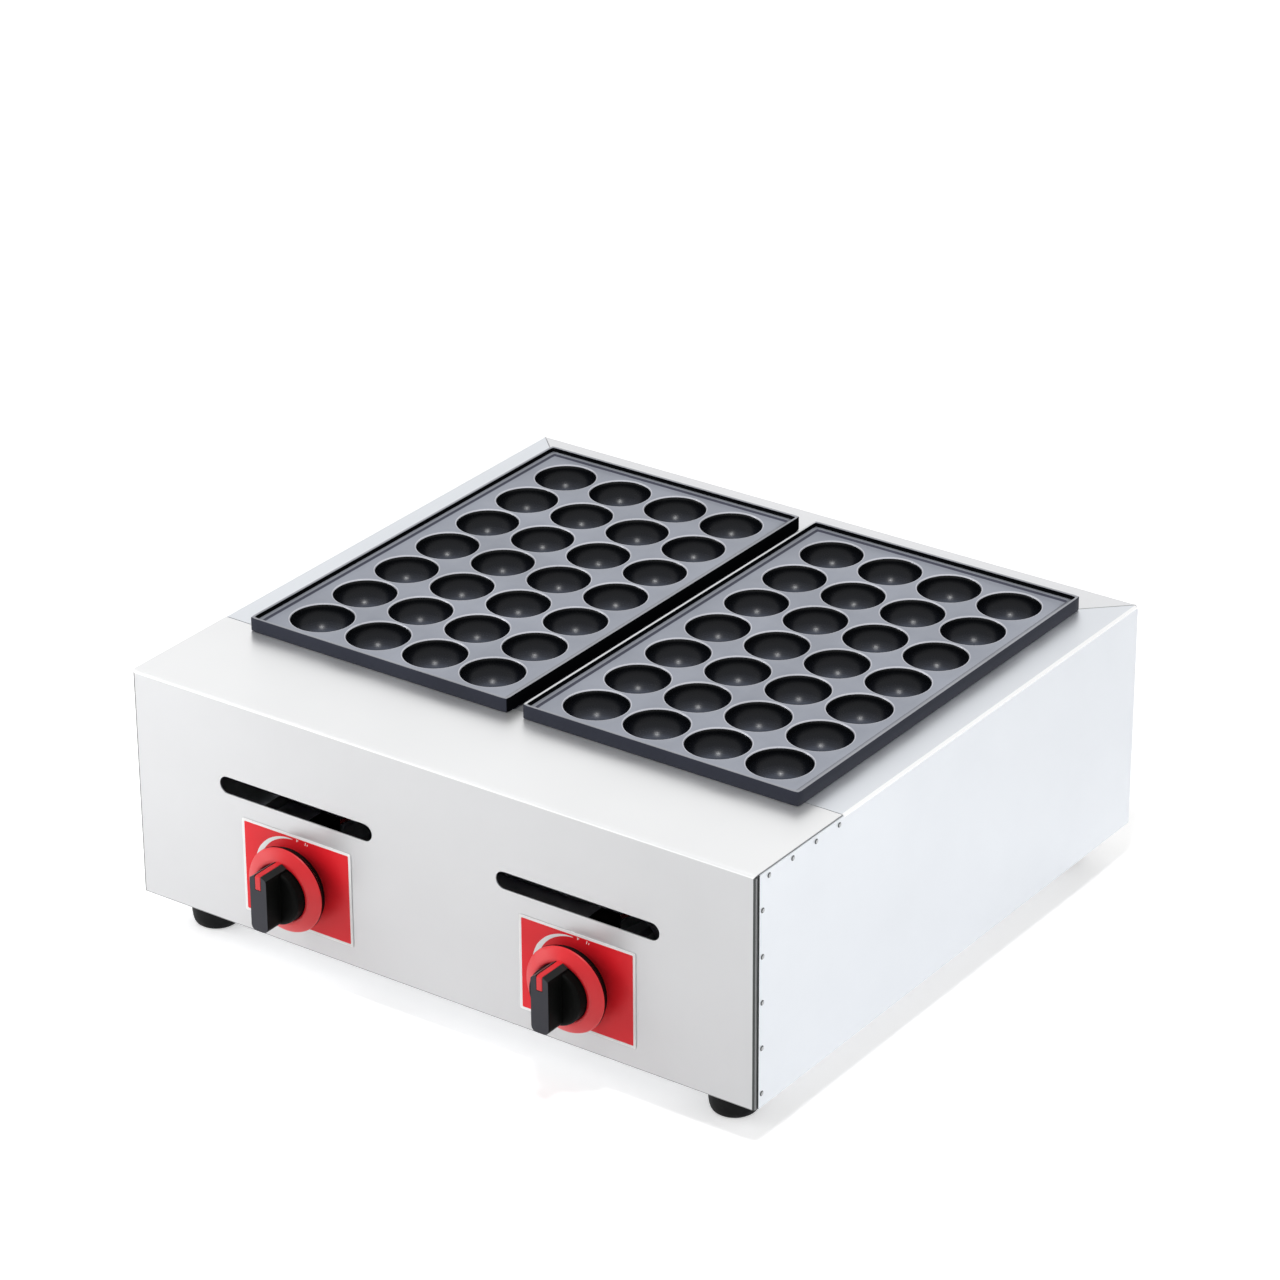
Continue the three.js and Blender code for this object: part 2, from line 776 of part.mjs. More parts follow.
// Cross rails that the burners lie on, standing on the tray
function makeBurnerRails() {
  const mid = sheet / 2;
  const low = trayTop + seat + mid;
  const high = railTop - mid;
  const reach = trayX - sheet - seat;
  const rails = [['front', frontRailY, -railFlange], ['rear', rearRailY, railFlange]];
  for (const [word, y, flange] of rails) {
    const midLine = [[y - flange, low], [y, low], [y, high], [y + flange, high]];
    let rail = pushed(bentSheet(midLine, sheet, bendRadius - mid), 'X', -reach, reach);
    rail = cut(rail, rod(pipeWindow, y - overrun, y + overrun, 'Y', [elbowX, 0, pipeZ], pipeSides));
    for (const [, hand] of hands) {
      const x = hand * plateX;
      if (word === 'front') {
        rail = cut(
          rail,
          rod(tubeWindow, y - overrun, y + overrun, 'Y', [x, 0, knobZ], pipeSides),
          rod(ceramicRadius + seat, high - overrun, high + overrun, 'Z',
            [x + electrodeSide, y + flange / 2, 0], smallSides),
        );
      }
    }
    place(`burner_rail_${word}`, rail, innerSteel);
  }
}

// Gas line from the rear inlet to the pipe under the valves
function makeGasLine() {
  const pipeEnd = elbowX - elbowReach + socketDepth;
  const feedStart = pipeY + elbowReach - socketDepth;
  const inletSocket = rearY - sheet - seat - elbowReach;
  const feedEnd = inletSocket + socketDepth;
  const pipeStart = -plateX - pipeOverhang;
  const pipe = cut(
    rod(pipeRadius, pipeStart, pipeEnd, 'X', [0, pipeY, pipeZ], pipeSides),
    rod(pipeBore, pipeStart + burnerWall, pipeEnd + overrun, 'X', [0, pipeY, pipeZ], pipeSides),
    ...hands.map(([, hand]) =>
      rod(gasBore, pipeZ, pipeZ + pipeRadius + overrun, 'Z', [hand * plateX, pipeY, 0], smallSides)),
  );
  place('gas_manifold', pipe, zinc);

  const corner = [elbowX, pipeY, pipeZ];
  const acrossX = (radius, from, to) => rod(radius, from, to, 'X', [0, pipeY, pipeZ], pipeSides);
  const alongY = (radius, from, to) => rod(radius, from, to, 'Y', [elbowX, 0, pipeZ], pipeSides);
  const elbow = cut(
    join(
      acrossX(elbowRadius, elbowX - elbowReach, elbowX + elbowRadius),
      alongY(elbowRadius, pipeY - elbowRadius, pipeY + elbowReach),
    ),
    acrossX(pipeRadius + seat, elbowX - elbowReach - overrun, pipeEnd + seat),
    alongY(pipeRadius + seat, feedStart - seat, pipeY + elbowReach + overrun),
    acrossX(pipeBore, pipeEnd - overrun, corner[0] + pipeBore),
    alongY(pipeBore, pipeY - pipeBore, feedStart + overrun),
  );
  place('pipe_elbow', elbow, brass);

  const feed = cut(
    alongY(pipeRadius, feedStart, feedEnd),
    alongY(pipeBore, feedStart - overrun, feedEnd + overrun),
  );
  place('feed_pipe', feed, zinc);

  const tip = rearY + inletReach;
  const barbStart = rearY + seat + nutThickness + seat + nutThickness;
  const barbPitch = (tip - barbStart) / barbCount;
  const barbs = Array.from({ length: barbCount }, (_, i) => {
    const start = barbStart + i * barbPitch;
    return [[barbRadius, start], [barbRoot, start + barbPitch]];
  }).flat();
  const inlet = turned([
    [pipeRadius + seat, inletSocket],
    [elbowRadius, inletSocket],
    [elbowRadius, rearY - sheet - seat],
    [neckRadius, rearY - sheet - seat],
    [neckRadius, barbStart],
    ...barbs,
    [gasBore, tip],
    [gasBore, feedEnd + seat],
    [pipeRadius + seat, feedEnd + seat],
    [pipeRadius + seat, inletSocket],
  ], 'Y', [elbowX, 0, pipeZ], pipeSides);
  place('gas_inlet', inlet, brass);

  const nut = cut(
    pushed(hexOutline(nutAcross, [elbowX, pipeZ]), 'Y', rearY + seat, rearY + seat + nutThickness),
    rod(neckRadius + seat, rearY - overrun, rearY + overrun * 2, 'Y', [elbowX, 0, pipeZ], pipeSides),
  );
  place('inlet_nut', nut, brass);
}

// Shaft with a flat along its top, or the hole that takes it
function flattened(radius, flat, from, to, x) {
  return cut(
    rod(radius, from, to, 'Y', [x, 0, knobZ], pipeSides),
    block([x - radius, from - overrun, knobZ + flat], [x + radius, to + overrun, knobZ + radius * 2]),
  );
}

function makeValve(word, x) {
  const about = [x, 0, knobZ];
  const hole = (radius, from, to) => rod(radius, from, to, 'Y', about, pipeSides);

  const bracket = cut(
    block(
      [x - bracketWidth / 2, bracketFront, knobZ - bracketHeight / 2],
      [x + bracketWidth / 2, bracketFront + bracketSheet, knobZ + bracketHeight / 2],
    ),
    hole(spindleHole, bracketFront - overrun, bracketFront + overrun),
  );
  place(`valve_bracket_${word}`, bracket, innerSteel);

  const cover = cut(
    rod(coverRadius, coverFront, coverFront + coverThickness, 'Y', about, pipeSides),
    hole(spindleRadius + seat, coverFront - overrun, coverFront + overrun),
  );
  place(`valve_cover_${word}`, cover, castMetal);

  const body = cut(
    join(
      rod(barrelRadius, barrelFront, barrelRear, 'Y', about, pipeSides),
      rod(coverRadius, barrelFront, barrelFront + coverThickness, 'Y', about, pipeSides),
      rod(legRadius, pipeZ, knobZ, 'Z', [x, pipeY, 0], pipeSides),
      block(
        [x - barrelRadius, pipeY - elbowRadius, pipeZ],
        [x + barrelRadius, pipeY + elbowRadius, pipeZ + elbowRadius],
      ),
    ),
    hole(valveBore, barrelFront - overrun, boreRear),
    hole(jetStubRadius + seat, boreRear - overrun, barrelRear + overrun),
    rod(gasBore, pipeZ - overrun, knobZ, 'Z', [x, pipeY, 0], smallSides),
    rod(pipeRadius + seat, x - barrelRadius - overrun, x + barrelRadius + overrun, 'X',
      [0, pipeY, pipeZ], pipeSides),
  );
  place(`valve_body_${word}`, body, castMetal);

  const plug = cut(
    hole(valveBore - seat, plugFront, plugRear),
    flattened(spindleRadius + seat, spindleFlat + seat, plugFront - overrun, socketRear, x),
    hole(plugOutlet, outletFront, plugRear + overrun),
    rod(plugPort, knobZ - valveBore * 2, knobZ, 'Z', [x, (outletFront + plugRear) / 2, 0], smallSides),
  );
  place(`valve_plug_${word}`, plug, brass);

  const spindle = join(
    flattened(spindleRadius, spindleFlat, shaftTip, spindleRear, x),
    hole(shoulderRadius, shoulderFront, shoulderRear),
  );
  place(`valve_spindle_${word}`, spindle, zinc);

  const jetBody = join(
    pushed(hexOutline(jetAcross, [x, knobZ]), 'Y', jetFront, jetFront + jetStub),
    rod(jetStubRadius, jetFront - jetStub, jetTip, 'Y', about, smallSides),
  );
  const jet = cut(
    jetBody,
    rod(plugOutlet - jetOrifice, jetFront - jetStub - overrun, jetTip - jetOrifice, 'Y', about, smallSides),
    rod(jetOrifice / 2, jetTip - jetOrifice * 2, jetTip + overrun, 'Y', about, hexSides),
  );
  place(`gas_jet_${word}`, jet, brass);
}

// Return spring between the spindle's end and the bottom of the plug's socket
class CoilPath extends THREE.Curve {
  constructor(centreX, from, to, radius, turns) {
    super();
    Object.assign(this, { centreX, from, to, radius, turns });
  }

  getPoint(t, target = new THREE.Vector3()) {
    const angle = t * this.turns * Math.PI * 2;
    return target.set(
      this.centreX + this.radius * Math.cos(angle),
      this.from + (this.to - this.from) * t,
      knobZ + this.radius * Math.sin(angle),
    );
  }
}

const circleOutline = (radius, sideCount) => outline(
  Array.from({ length: sideCount }, (_, i) => {
    const angle = (i / sideCount) * Math.PI * 2;
    return [radius * Math.cos(angle), radius * Math.sin(angle)];
  }),
);

function swept(path, radius, sideCount, steps) {
  const options = { steps, extrudePath: path, bevelEnabled: false };
  return solidOf(new THREE.ExtrudeGeometry(circleOutline(radius, sideCount), options));
}

function makeSpring(word, x) {
  const room = seat + springWire / 2;
  const radius = spindleFlat - springWire / 2 - seat;
  const path = new CoilPath(x, spindleRear + room, socketRear - room, radius, springTurns);
  place(`valve_spring_${word}`, swept(path, springWire / 2, wireSides, springTurns * coilSteps), zinc);
}

// Spark igniter on the valve, its electrode beside the burner and the lead between them
function makeIgniter(word, x) {
  const piezoBase = knobZ + coverRadius + seat;
  const piezoFront = barrelFront + piezoSetback;
  const piezoRear = piezoFront + piezoLength;
  const terminalZ = piezoBase + piezoHeight / 2;
  const terminalTip = piezoRear + terminalLength;
  const saddle = block(
    [x - piezoWidth / 2, piezoFront, knobZ],
    [x + piezoWidth / 2, piezoRear, piezoBase + piezoHeight],
  );
  const barrelSpace = rod(
    barrelRadius + seat, piezoFront - overrun, piezoRear + overrun, 'Y', [x, 0, knobZ], pipeSides,
  );
  const piezo = join(
    cut(saddle, barrelSpace),
    rod(terminalRadius, piezoRear - terminalRadius, terminalTip, 'Y', [x, 0, terminalZ], smallSides),
  );
  const lowest = block(
    [x - piezoWidth, piezoFront - overrun, knobZ - overrun],
    [x + piezoWidth, piezoRear + overrun, knobZ + barrelRadius / 2],
  );
  place(`piezo_igniter_${word}`, cut(piezo, lowest), blackPlastic);

  const ex = x + electrodeSide;
  const ey = frontRailY - railFlange / 2;
  const ceramicTop = railTop + ceramicRise;
  const ceramicFoot = ceramicTop - ceramicLength;
  const wireTop = ceramicTop + sparkRise;
  const electrode = join(
    rod(ceramicRadius, ceramicFoot, ceramicTop, 'Z', [ex, ey, 0], smallSides),
    rod(collarRadius, railTop + seat, railTop + seat + collarThickness, 'Z', [ex, ey, 0], smallSides),
    rod(sparkWire, ceramicTop - sparkWire, wireTop, 'Z', [ex, ey, 0], hexSides),
    rod(sparkWire, ex - sparkReach, ex, 'X', [0, ey, wireTop - sparkWire], hexSides),
  );
  place(`spark_electrode_${word}`, electrode, ceramic);

  const start = new THREE.Vector3(x, terminalTip + seat, terminalZ);
  const end = new THREE.Vector3(ex, ey, ceramicFoot - seat);
  const path = new THREE.CubicBezierCurve3(
    start,
    start.clone().add(new THREE.Vector3(0, leadSlack, 0)),
    end.clone().add(new THREE.Vector3(0, 0, -leadSlack)),
    end,
  );
  place(`ignition_lead_${word}`, swept(path, leadRadius, hexSides, leadSteps), cableRed);
}

// Knob: black hub with a grip bar, and a red ring with its pointer let into the bar
function makeKnob(word, x) {
  const about = [x, 0, knobZ];
  const ringFront = ringBack - ringDepth;
  const grip = outline([
    [x - gripHeelWidth / 2, knobZ - gripBottom],
    [x + gripHeelWidth / 2, knobZ - gripBottom],
    [x + gripWidth / 2, knobZ - gripHeel],
    [x + gripWidth / 2, knobZ + gripShoulder],
    [x + gripPeakWidth / 2, knobZ + gripTop],
    [x - gripPeakWidth / 2, knobZ + gripTop],
    [x - gripWidth / 2, knobZ + gripShoulder],
    [x - gripWidth / 2, knobZ - gripHeel],
  ]);
  const hub = turned([
    [0, baseBack],
    [baseRadius, baseBack],
    [baseRadius, baseFront],
    [hubRadius, baseFront],
    [hubRadius, hubFront + hubRound],
    [hubRadius - hubRound, hubFront],
    [0, hubFront],
  ], 'Y', about);
  const gripBack = ringFront - seat;
  const half = pointerWidth / 2;
  const channelFloor = knobZ + gripTop - pointerInlay;
  const channel = join(
    block(
      [x - half - seat, gripFront - overrun, channelFloor - seat],
      [x + half + seat, ringBack + seat, knobZ + ringRadius],
    ),
    block(
      [x - half - seat, gripFront - overrun, knobZ + gripTop - pointerDrop - seat],
      [x + half + seat, gripFront + pointerInlay + seat, knobZ + ringRadius],
    ),
  );
  const knob = cut(
    join(hub, pushed(grip, 'Y', gripFront, gripBack)),
    channel,
    flattened(spindleRadius + seat, spindleFlat + seat, shaftTip - seat, baseBack + overrun, x),
  );
  place(`control_knob_${word}`, knob, blackPlastic);

  const ringBore = hubRadius + seat;
  const ring = turned([
    [ringBore, ringBack],
    [ringRadius, ringBack],
    [ringRadius, ringBack - ringEdge],
    [ringBore + ringLip, ringFront],
    [ringBore, ringFront],
    [ringBore, ringBack],
  ], 'Y', about);
  const pointer = join(
    block([x - half, gripFront, channelFloor], [x + half, ringFront + ringLip, knobZ + gripTop]),
    block(
      [x - half, gripFront, knobZ + gripTop - pointerDrop],
      [x + half, gripFront + pointerInlay, knobZ + gripTop],
    ),
  );
  place(`knob_ring_${word}`, join(ring, pointer), redPlastic);
}

// Printed dial plate behind the knob
function makeDial(word, x) {
  const front = frontY - seat - dialThickness;
  const dial = cut(
    block(
      [x - dialWidth / 2, front, knobZ - dialHeight / 2],
      [x + dialWidth / 2, frontY - seat, knobZ + dialHeight / 2],
    ),
    rod(spindleHole, front - overrun, frontY + overrun, 'Y', [x, 0, knobZ], pipeSides),
  );
  place(`dial_plate_${word}`, dial, redPrint);
}

// Rubber foot with its screw from below and its nut inside the tray
function makeFoot(word, x, y) {
  const centre = [x, y, 0];
  const bore = screwRadius + screwFit;
  const foot = turned([
    [footRecess, 0],
    [footBottom - footEdge, 0],
    [footBottom, footEdge],
    [footTop, footHeight],
    [bore, footHeight],
    [bore, footRecessDepth],
    [footRecess, footRecessDepth],
    [footRecess, 0],
  ], 'Z', centre, pipeSides);
  place(`foot_${word}`, foot, rubber);

  const headTop = footRecessDepth - seat;
  const nutBase = trayTop + seat;
  const nutTop = nutBase + footNutThickness;
  const screw = turned([
    [0, headTop - screwHeadHeight],
    [screwHead, headTop - screwHeadHeight],
    [screwHead, headTop],
    [screwRadius, headTop],
    [screwRadius, nutTop + screwTail],
    [0, nutTop + screwTail],
  ], 'Z', centre, smallSides);
  place(`foot_screw_${word}`, screw, zinc);

  const nut = cut(
    pushed(hexOutline(footNutAcross, [x, y]), 'Z', nutBase, nutTop),
    rod(bore, nutBase - overrun, nutTop + overrun, 'Z', centre, smallSides),
  );
  place(`foot_nut_${word}`, nut, zinc);
}

makeFrontPanel();
makeSidePanels();
makeRearPanel();
makeBottomTray();
makeCenterRail();
makeGrillPlates();
makeBurners();
makeBurnerRails();
makeGasLine();
for (const [word, hand] of hands) {
  const x = hand * plateX;
  makeValve(word, x);
  makeSpring(word, x);
  makeIgniter(word, x);
  makeKnob(word, x);
  makeDial(word, x);
  makeFoot(`front_${word}`, hand * footX, -footY);
  makeFoot(`rear_${word}`, hand * footX, footY);
}

export default cooker;
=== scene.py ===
import json
import math

import bmesh
import bpy
from mathutils import Matrix, Vector


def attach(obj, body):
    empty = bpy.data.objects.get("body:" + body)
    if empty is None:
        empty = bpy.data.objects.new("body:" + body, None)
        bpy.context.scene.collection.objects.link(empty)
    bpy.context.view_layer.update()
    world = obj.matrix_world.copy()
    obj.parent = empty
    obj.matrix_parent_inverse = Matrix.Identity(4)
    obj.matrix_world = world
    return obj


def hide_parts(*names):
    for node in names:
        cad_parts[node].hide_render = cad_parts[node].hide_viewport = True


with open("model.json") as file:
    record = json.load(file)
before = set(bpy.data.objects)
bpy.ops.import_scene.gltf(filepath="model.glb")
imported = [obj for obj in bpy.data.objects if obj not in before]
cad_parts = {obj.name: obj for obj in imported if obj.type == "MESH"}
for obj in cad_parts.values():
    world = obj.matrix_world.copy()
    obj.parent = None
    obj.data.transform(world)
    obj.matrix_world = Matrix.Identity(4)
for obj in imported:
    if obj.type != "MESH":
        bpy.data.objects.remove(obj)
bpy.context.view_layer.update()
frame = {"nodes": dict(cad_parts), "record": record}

MM = 0.001
HANDS = (("left", -1), ("right", 1))

# Places and sizes in millimetres, as in the part's source.
# SHIFT is how far back the cabinet's middle is from the middle of the whole object.
SHIFT = 1.5
SEAT = 0.3
SHEET = 1.0
BEND = 2.5
BOTTOM = 28.3
TOP = 212.3
FRONT = -255 + SHIFT
REAR = 255 + SHIFT
OUTER = 275.0
INNER = OUTER - SHEET - SEAT
SEAM = FRONT + 106.5
RETURN_BEND = 1.6
TOP_RETURN = 12
OVERRUN = 6

PLATE_X = 125.0
PLATE_BACK = 32.5
WELL_HALF = 109
WELL_REACH = 183
WELL_X = PLATE_X + WELL_HALF
WELL_FRONT = PLATE_BACK - WELL_REACH + SHIFT
WELL_REAR = PLATE_BACK + WELL_REACH + SHIFT
MITRE = (REAR - WELL_REAR) / (OUTER - WELL_X)

COLUMNS, ROWS = 4, 7
CELL_STEPS = 14
PITCH_X, PITCH_Y = 52.5, 51.0
CUP_RADIUS, CUP_DEPTH = 24.0, 22.0
PLATE_Y = PLATE_BACK + SHIFT
PLATE_BASE = TOP + SEAT
PLATE_WIDTH = 236.5
PLATE_LENGTH = 379.0
RIM_TOP = PLATE_BASE + 11
CUP_PLANE = RIM_TOP - 4.2
CUP_UNDERSIDE = CUP_PLANE - 4.0
LEDGE_TOP = CUP_PLANE + 1.2

SLOT_LENGTH, SLOT_HEIGHT = 140, 14
SLOT_Z = BOTTOM + 114
VENT_WIDTH, VENT_HEIGHT, VENT_PITCH, VENT_COUNT = 8, 36, 20, 5
VENT_Z = BOTTOM + 132
KNOB_Z = BOTTOM + 54
KNOB_BACK = FRONT - 7.0
SPINDLE_HOLE = 10
PIPE_Z = KNOB_Z - 30
PIPE_HOLE = 7.3
ELBOW_X = 205.0
FOOT_X, FOOT_Y, FOOT_TOP = 234, 220, 28.0


# ---------------------------------------------------------------- materials
def node_material(name):
    mat = bpy.data.materials.new(name)
    mat.use_nodes = True
    tree = mat.node_tree
    bsdf = tree.nodes["Principled BSDF"]
    return mat, tree, bsdf


def add(tree, kind, **values):
    node = tree.nodes.new(kind)
    for key, value in values.items():
        setattr(node, key, value)
    return node


def coords(tree, scale=(1, 1, 1), rotation=(0, 0, 0)):
    source = add(tree, "ShaderNodeTexCoord")
    mapping = add(tree, "ShaderNodeMapping")
    mapping.inputs["Scale"].default_value = scale
    mapping.inputs["Rotation"].default_value = rotation
    tree.links.new(source.outputs["Object"], mapping.inputs["Vector"])
    return mapping.outputs["Vector"]


def noise_of(tree, vector, scale, detail, roughness=0.5):
    node = add(tree, "ShaderNodeTexNoise")
    node.inputs["Scale"].default_value = scale
    node.inputs["Detail"].default_value = detail
    node.inputs["Roughness"].default_value = roughness
    tree.links.new(vector, node.inputs["Vector"])
    return node.outputs["Fac"]


def ranged(tree, value, low, high, start=0.0, end=1.0):
    node = add(tree, "ShaderNodeMapRange")
    node.inputs["From Min"].default_value = start
    node.inputs["From Max"].default_value = end
    node.inputs["To Min"].default_value = low
    node.inputs["To Max"].default_value = high
    tree.links.new(value, node.inputs["Value"])
    return node.outputs["Result"]


def ramp(tree, value, stops):
    node = add(tree, "ShaderNodeValToRGB")
    ends = node.color_ramp.elements
    while len(ends) < len(stops):
        ends.new(0.5)
    for element, (place, color) in zip(ends, stops):
        element.position = place
        element.color = (*color, 1)
    tree.links.new(value, node.inputs["Fac"])
    return node.outputs["Color"]


def bumped(tree, bsdf, height, strength, distance):
    node = add(tree, "ShaderNodeBump")
    node.inputs["Strength"].default_value = strength
    node.inputs["Distance"].default_value = distance
    tree.links.new(height, node.inputs["Height"])
    tree.links.new(node.outputs["Normal"], bsdf.inputs["Normal"])


def brushed(name, color, rough, along, grain=1.0, metallic=0.78):
    """Brushed sheet: fine lines along one axis, faint clouds and handling marks."""
    mat, tree, bsdf = node_material(name)
    stretch = {"x": (2, 260, 260), "y": (260, 2, 260)}[along]
    lines = noise_of(tree, coords(tree, stretch), 1.6, 1.0, 0.5)
    cloud = noise_of(tree, coords(tree), 3.2, 3.0, 0.55)
    smear = noise_of(tree, coords(tree, (6, 6, 6)), 2.4, 4.0, 0.6)
    low = [c * 0.93 for c in color]
    shade = ramp(tree, cloud, [(0.3, low), (0.7, color)])
    tree.links.new(shade, bsdf.inputs["Base Color"])
    mixed = add(tree, "ShaderNodeMath", operation="MULTIPLY")
    tree.links.new(ranged(tree, lines, 0.975, 1.025, 0.3, 0.7), mixed.inputs[0])
    tree.links.new(ranged(tree, smear, rough * 0.85, rough * 1.2, 0.3, 0.7), mixed.inputs[1])
    tree.links.new(mixed.outputs[0], bsdf.inputs["Roughness"])
    bsdf.inputs["Metallic"].default_value = metallic
    bumped(tree, bsdf, noise_of(tree, coords(tree), 26.0, 2.0, 0.5), 0.05 * grain, 0.0002)
    return mat


def coated(name, color, rough, grain_scale, bump, metallic=0.0, specular=0.5, marks=0.0):
    """Moulded or coated surface: fine grain, faint tone and gloss changes."""
    mat, tree, bsdf = node_material(name)
    vector = coords(tree)
    grain = noise_of(tree, vector, grain_scale, 3.0, 0.6)
    cloud = noise_of(tree, vector, 14.0, 3.0, 0.5)
    low = [c * 0.86 for c in color]
    high = [min(1.0, c * 1.06) for c in color]
    tree.links.new(ramp(tree, cloud, [(0.3, low), (0.72, high)]), bsdf.inputs["Base Color"])
    uneven = ranged(tree, grain, rough * 0.88, rough * 1.14, 0.3, 0.7)
    tree.links.new(uneven, bsdf.inputs["Roughness"])
    bsdf.inputs["Metallic"].default_value = metallic
    bsdf.inputs["Specular IOR Level"].default_value = specular
    height = grain
    if marks:
        scratches = noise_of(tree, coords(tree, (90, 5, 40), (0, 0, 0.5)), 8.0, 2.0, 0.5)
        blend = add(tree, "ShaderNodeMath", operation="ADD")
        tree.links.new(grain, blend.inputs[0])
        tree.links.new(ranged(tree, scratches, 0.0, marks, 0.55, 0.8), blend.inputs[1])
        height = blend.outputs[0]
    bumped(tree, bsdf, height, bump, 0.0001)
    return mat


def turned_cup(name, rim, wall, bottom, rough, specular):
    """Coated cup: turning rings about each cup's own axis, with a painted glow towards its bottom
    that fades to near black at its rim.
    """
    mat, tree, bsdf = node_material(name)
    layer = add(tree, "ShaderNodeUVMap", uv_map="cup")
    wave = add(tree, "ShaderNodeTexWave", wave_type="RINGS", rings_direction="Z")
    wave.inputs["Scale"].default_value = 6.5
    wave.inputs["Distortion"].default_value = 0.4
    tree.links.new(layer.outputs["UV"], wave.inputs["Vector"])
    reach = add(tree, "ShaderNodeVectorMath", operation="LENGTH")
    tree.links.new(layer.outputs["UV"], reach.inputs[0])
    # Painted light: pale towards the bottom, where the overhead lamp's glow falls, near black
    # towards the rim.
    half_way = [c * 0.42 for c in bottom]
    tone = ramp(tree, reach.outputs["Value"],
                [(0.0, bottom), (0.6, bottom), (0.7, half_way), (0.84, wall), (0.99, rim)])
    blend = add(tree, "ShaderNodeMix", data_type="RGBA", blend_type="MULTIPLY")
    blend.inputs["Factor"].default_value = 1.0
    tree.links.new(tone, blend.inputs[6])
    turning = ramp(tree, wave.outputs["Fac"], [(0.0, (0.86, 0.86, 0.86)), (1.0, (1, 1, 1))])
    tree.links.new(turning, blend.inputs[7])
    tree.links.new(blend.outputs[2], bsdf.inputs["Base Color"])
    grain = noise_of(tree, coords(tree), 900.0, 2.0)
    uneven = ranged(tree, grain, rough * 0.9, rough * 1.15, 0.3, 0.7)
    tree.links.new(uneven, bsdf.inputs["Roughness"])
    bsdf.inputs["Specular IOR Level"].default_value = specular
    bumped(tree, bsdf, wave.outputs["Fac"], 0.05, 0.0001)
    return mat


# Painted shade: dark steel for the front sheet's side bends, where the bend and the gap beside it
# lie in shade, and for the flanks' front cut edges, which are partly darker raw cut edge and partly
# painted shade of that gap.
EDGE_SHADE_DARK = brushed("bend_shade", (0.075, 0.08, 0.08), 0.45, "x")
# Painted shade: mid-grey steel for the front sheet's side returns, the line along its lower edge and
# the mitre joints, which lie in shade.
EDGE_SHADE_GREY = brushed("return_shade", (0.30, 0.305, 0.31), 0.45, "x")
# Painted light and shade: copies of one stainless steel toned for how light falls on each face: the
# top lightest, the front face darker, the flanks and rear between them, and the flanks' top bends a
# whiter, shinier copy standing in for their highlight.
STEEL_X = brushed("steel_top", (0.89, 0.895, 0.90), 0.34, "x")
STEEL_FACE_SHADED = brushed("steel_front_shaded", (0.64, 0.645, 0.655), 0.34, "x", metallic=0.45)
STEEL_Y = brushed("steel_side", (0.785, 0.812, 0.85), 0.36, "y")
STEEL_BEND_LIT = brushed("steel_bend_highlight", (1.0, 1.0, 1.0), 0.14, "y", metallic=1.0)
# Painted shade: lighter grey steel for the front sheet's cut ends behind its side bends.
EDGE_SHADE_LIGHT = brushed("seam_shade", (0.52, 0.525, 0.53), 0.4, "y", metallic=0.4)
STEEL_Z = brushed("steel_rear", (0.81, 0.815, 0.83), 0.36, "x")
SHEET_IN = brushed("inner_sheet", (0.62, 0.63, 0.65), 0.42, "x", 0.6)
RIVET = coated("rivet_steel", (0.50, 0.51, 0.52), 0.38, 600, 0.1, metallic=0.9)
# Painted shade: a dark ring round each rivet head stands in for the shadow in the gap round it.
RIVET_SHADE = coated("rivet_painted_shade", (0.12, 0.125, 0.13), 0.5, 600, 0.1, metallic=0.6)
PLATED = coated("zinc_plating", (0.72, 0.73, 0.74), 0.3, 400, 0.05, metallic=1.0)
BRASS = coated("machined_brass", (0.72, 0.56, 0.28), 0.32, 500, 0.05, metallic=1.0)
CAST = coated("die_cast", (0.55, 0.56, 0.57), 0.5, 650, 0.3, metallic=0.9)
BLACK = coated("black_plastic", (0.0015, 0.0017, 0.0015), 0.5, 1400, 0.1, specular=0.06)
# Painted light: lighter copies of the black plastic for the grip's front and top faces, which face
# the light.
GRIP_FACE_LIT = coated("black_plastic_face_lit", (0.045, 0.046, 0.056), 0.36, 1400, 0.1, specular=0.16)
GRIP_TOP_LIT = coated("black_plastic_top_lit", (0.022, 0.025, 0.025), 0.36, 1400, 0.1, specular=0.16)
RED = coated("red_plastic", (0.78, 0.018, 0.026), 0.4, 1200, 0.06, specular=0.5)
# Painted shade: a near-black copy of the red plastic for the ring's outer wall, which lies in shade.
RED_SHADE = coated("red_plastic_side_shade", (0.02, 0.0015, 0.0015), 0.6, 1200, 0.06, specular=0.05)
RED_PRINT = coated("red_print", (0.86, 0.014, 0.024), 0.42, 900, 0.03, specular=0.3)
WHITE_PRINT = coated("white_print", (0.97, 0.97, 0.97), 0.45, 900, 0.02)
RUBBER = coated("black_rubber", (0.006, 0.006, 0.0065), 0.6, 900, 0.25, specular=0.14)
CERAMIC = coated("ceramic", (0.82, 0.80, 0.74), 0.3, 300, 0.08)
CABLE = coated("lead_sheath", (0.5, 0.03, 0.03), 0.45, 700, 0.1)
PLATE_WALL = coated("plate_coating", (0.03, 0.033, 0.048), 0.42, 900, 0.2, specular=0.12, marks=0.3)
# Painted highlight: a pale metallic copy of the plate coating on each cup mouth's rounded edge.
MOUTH_HIGHLIGHT = coated("mouth_painted_highlight", (0.60, 0.61, 0.66), 0.3, 700, 0.08, metallic=0.85)
PLATE_TOP = coated("plate_face", (0.325, 0.345, 0.40), 0.33, 800, 0.16, metallic=0.85, marks=0.5)
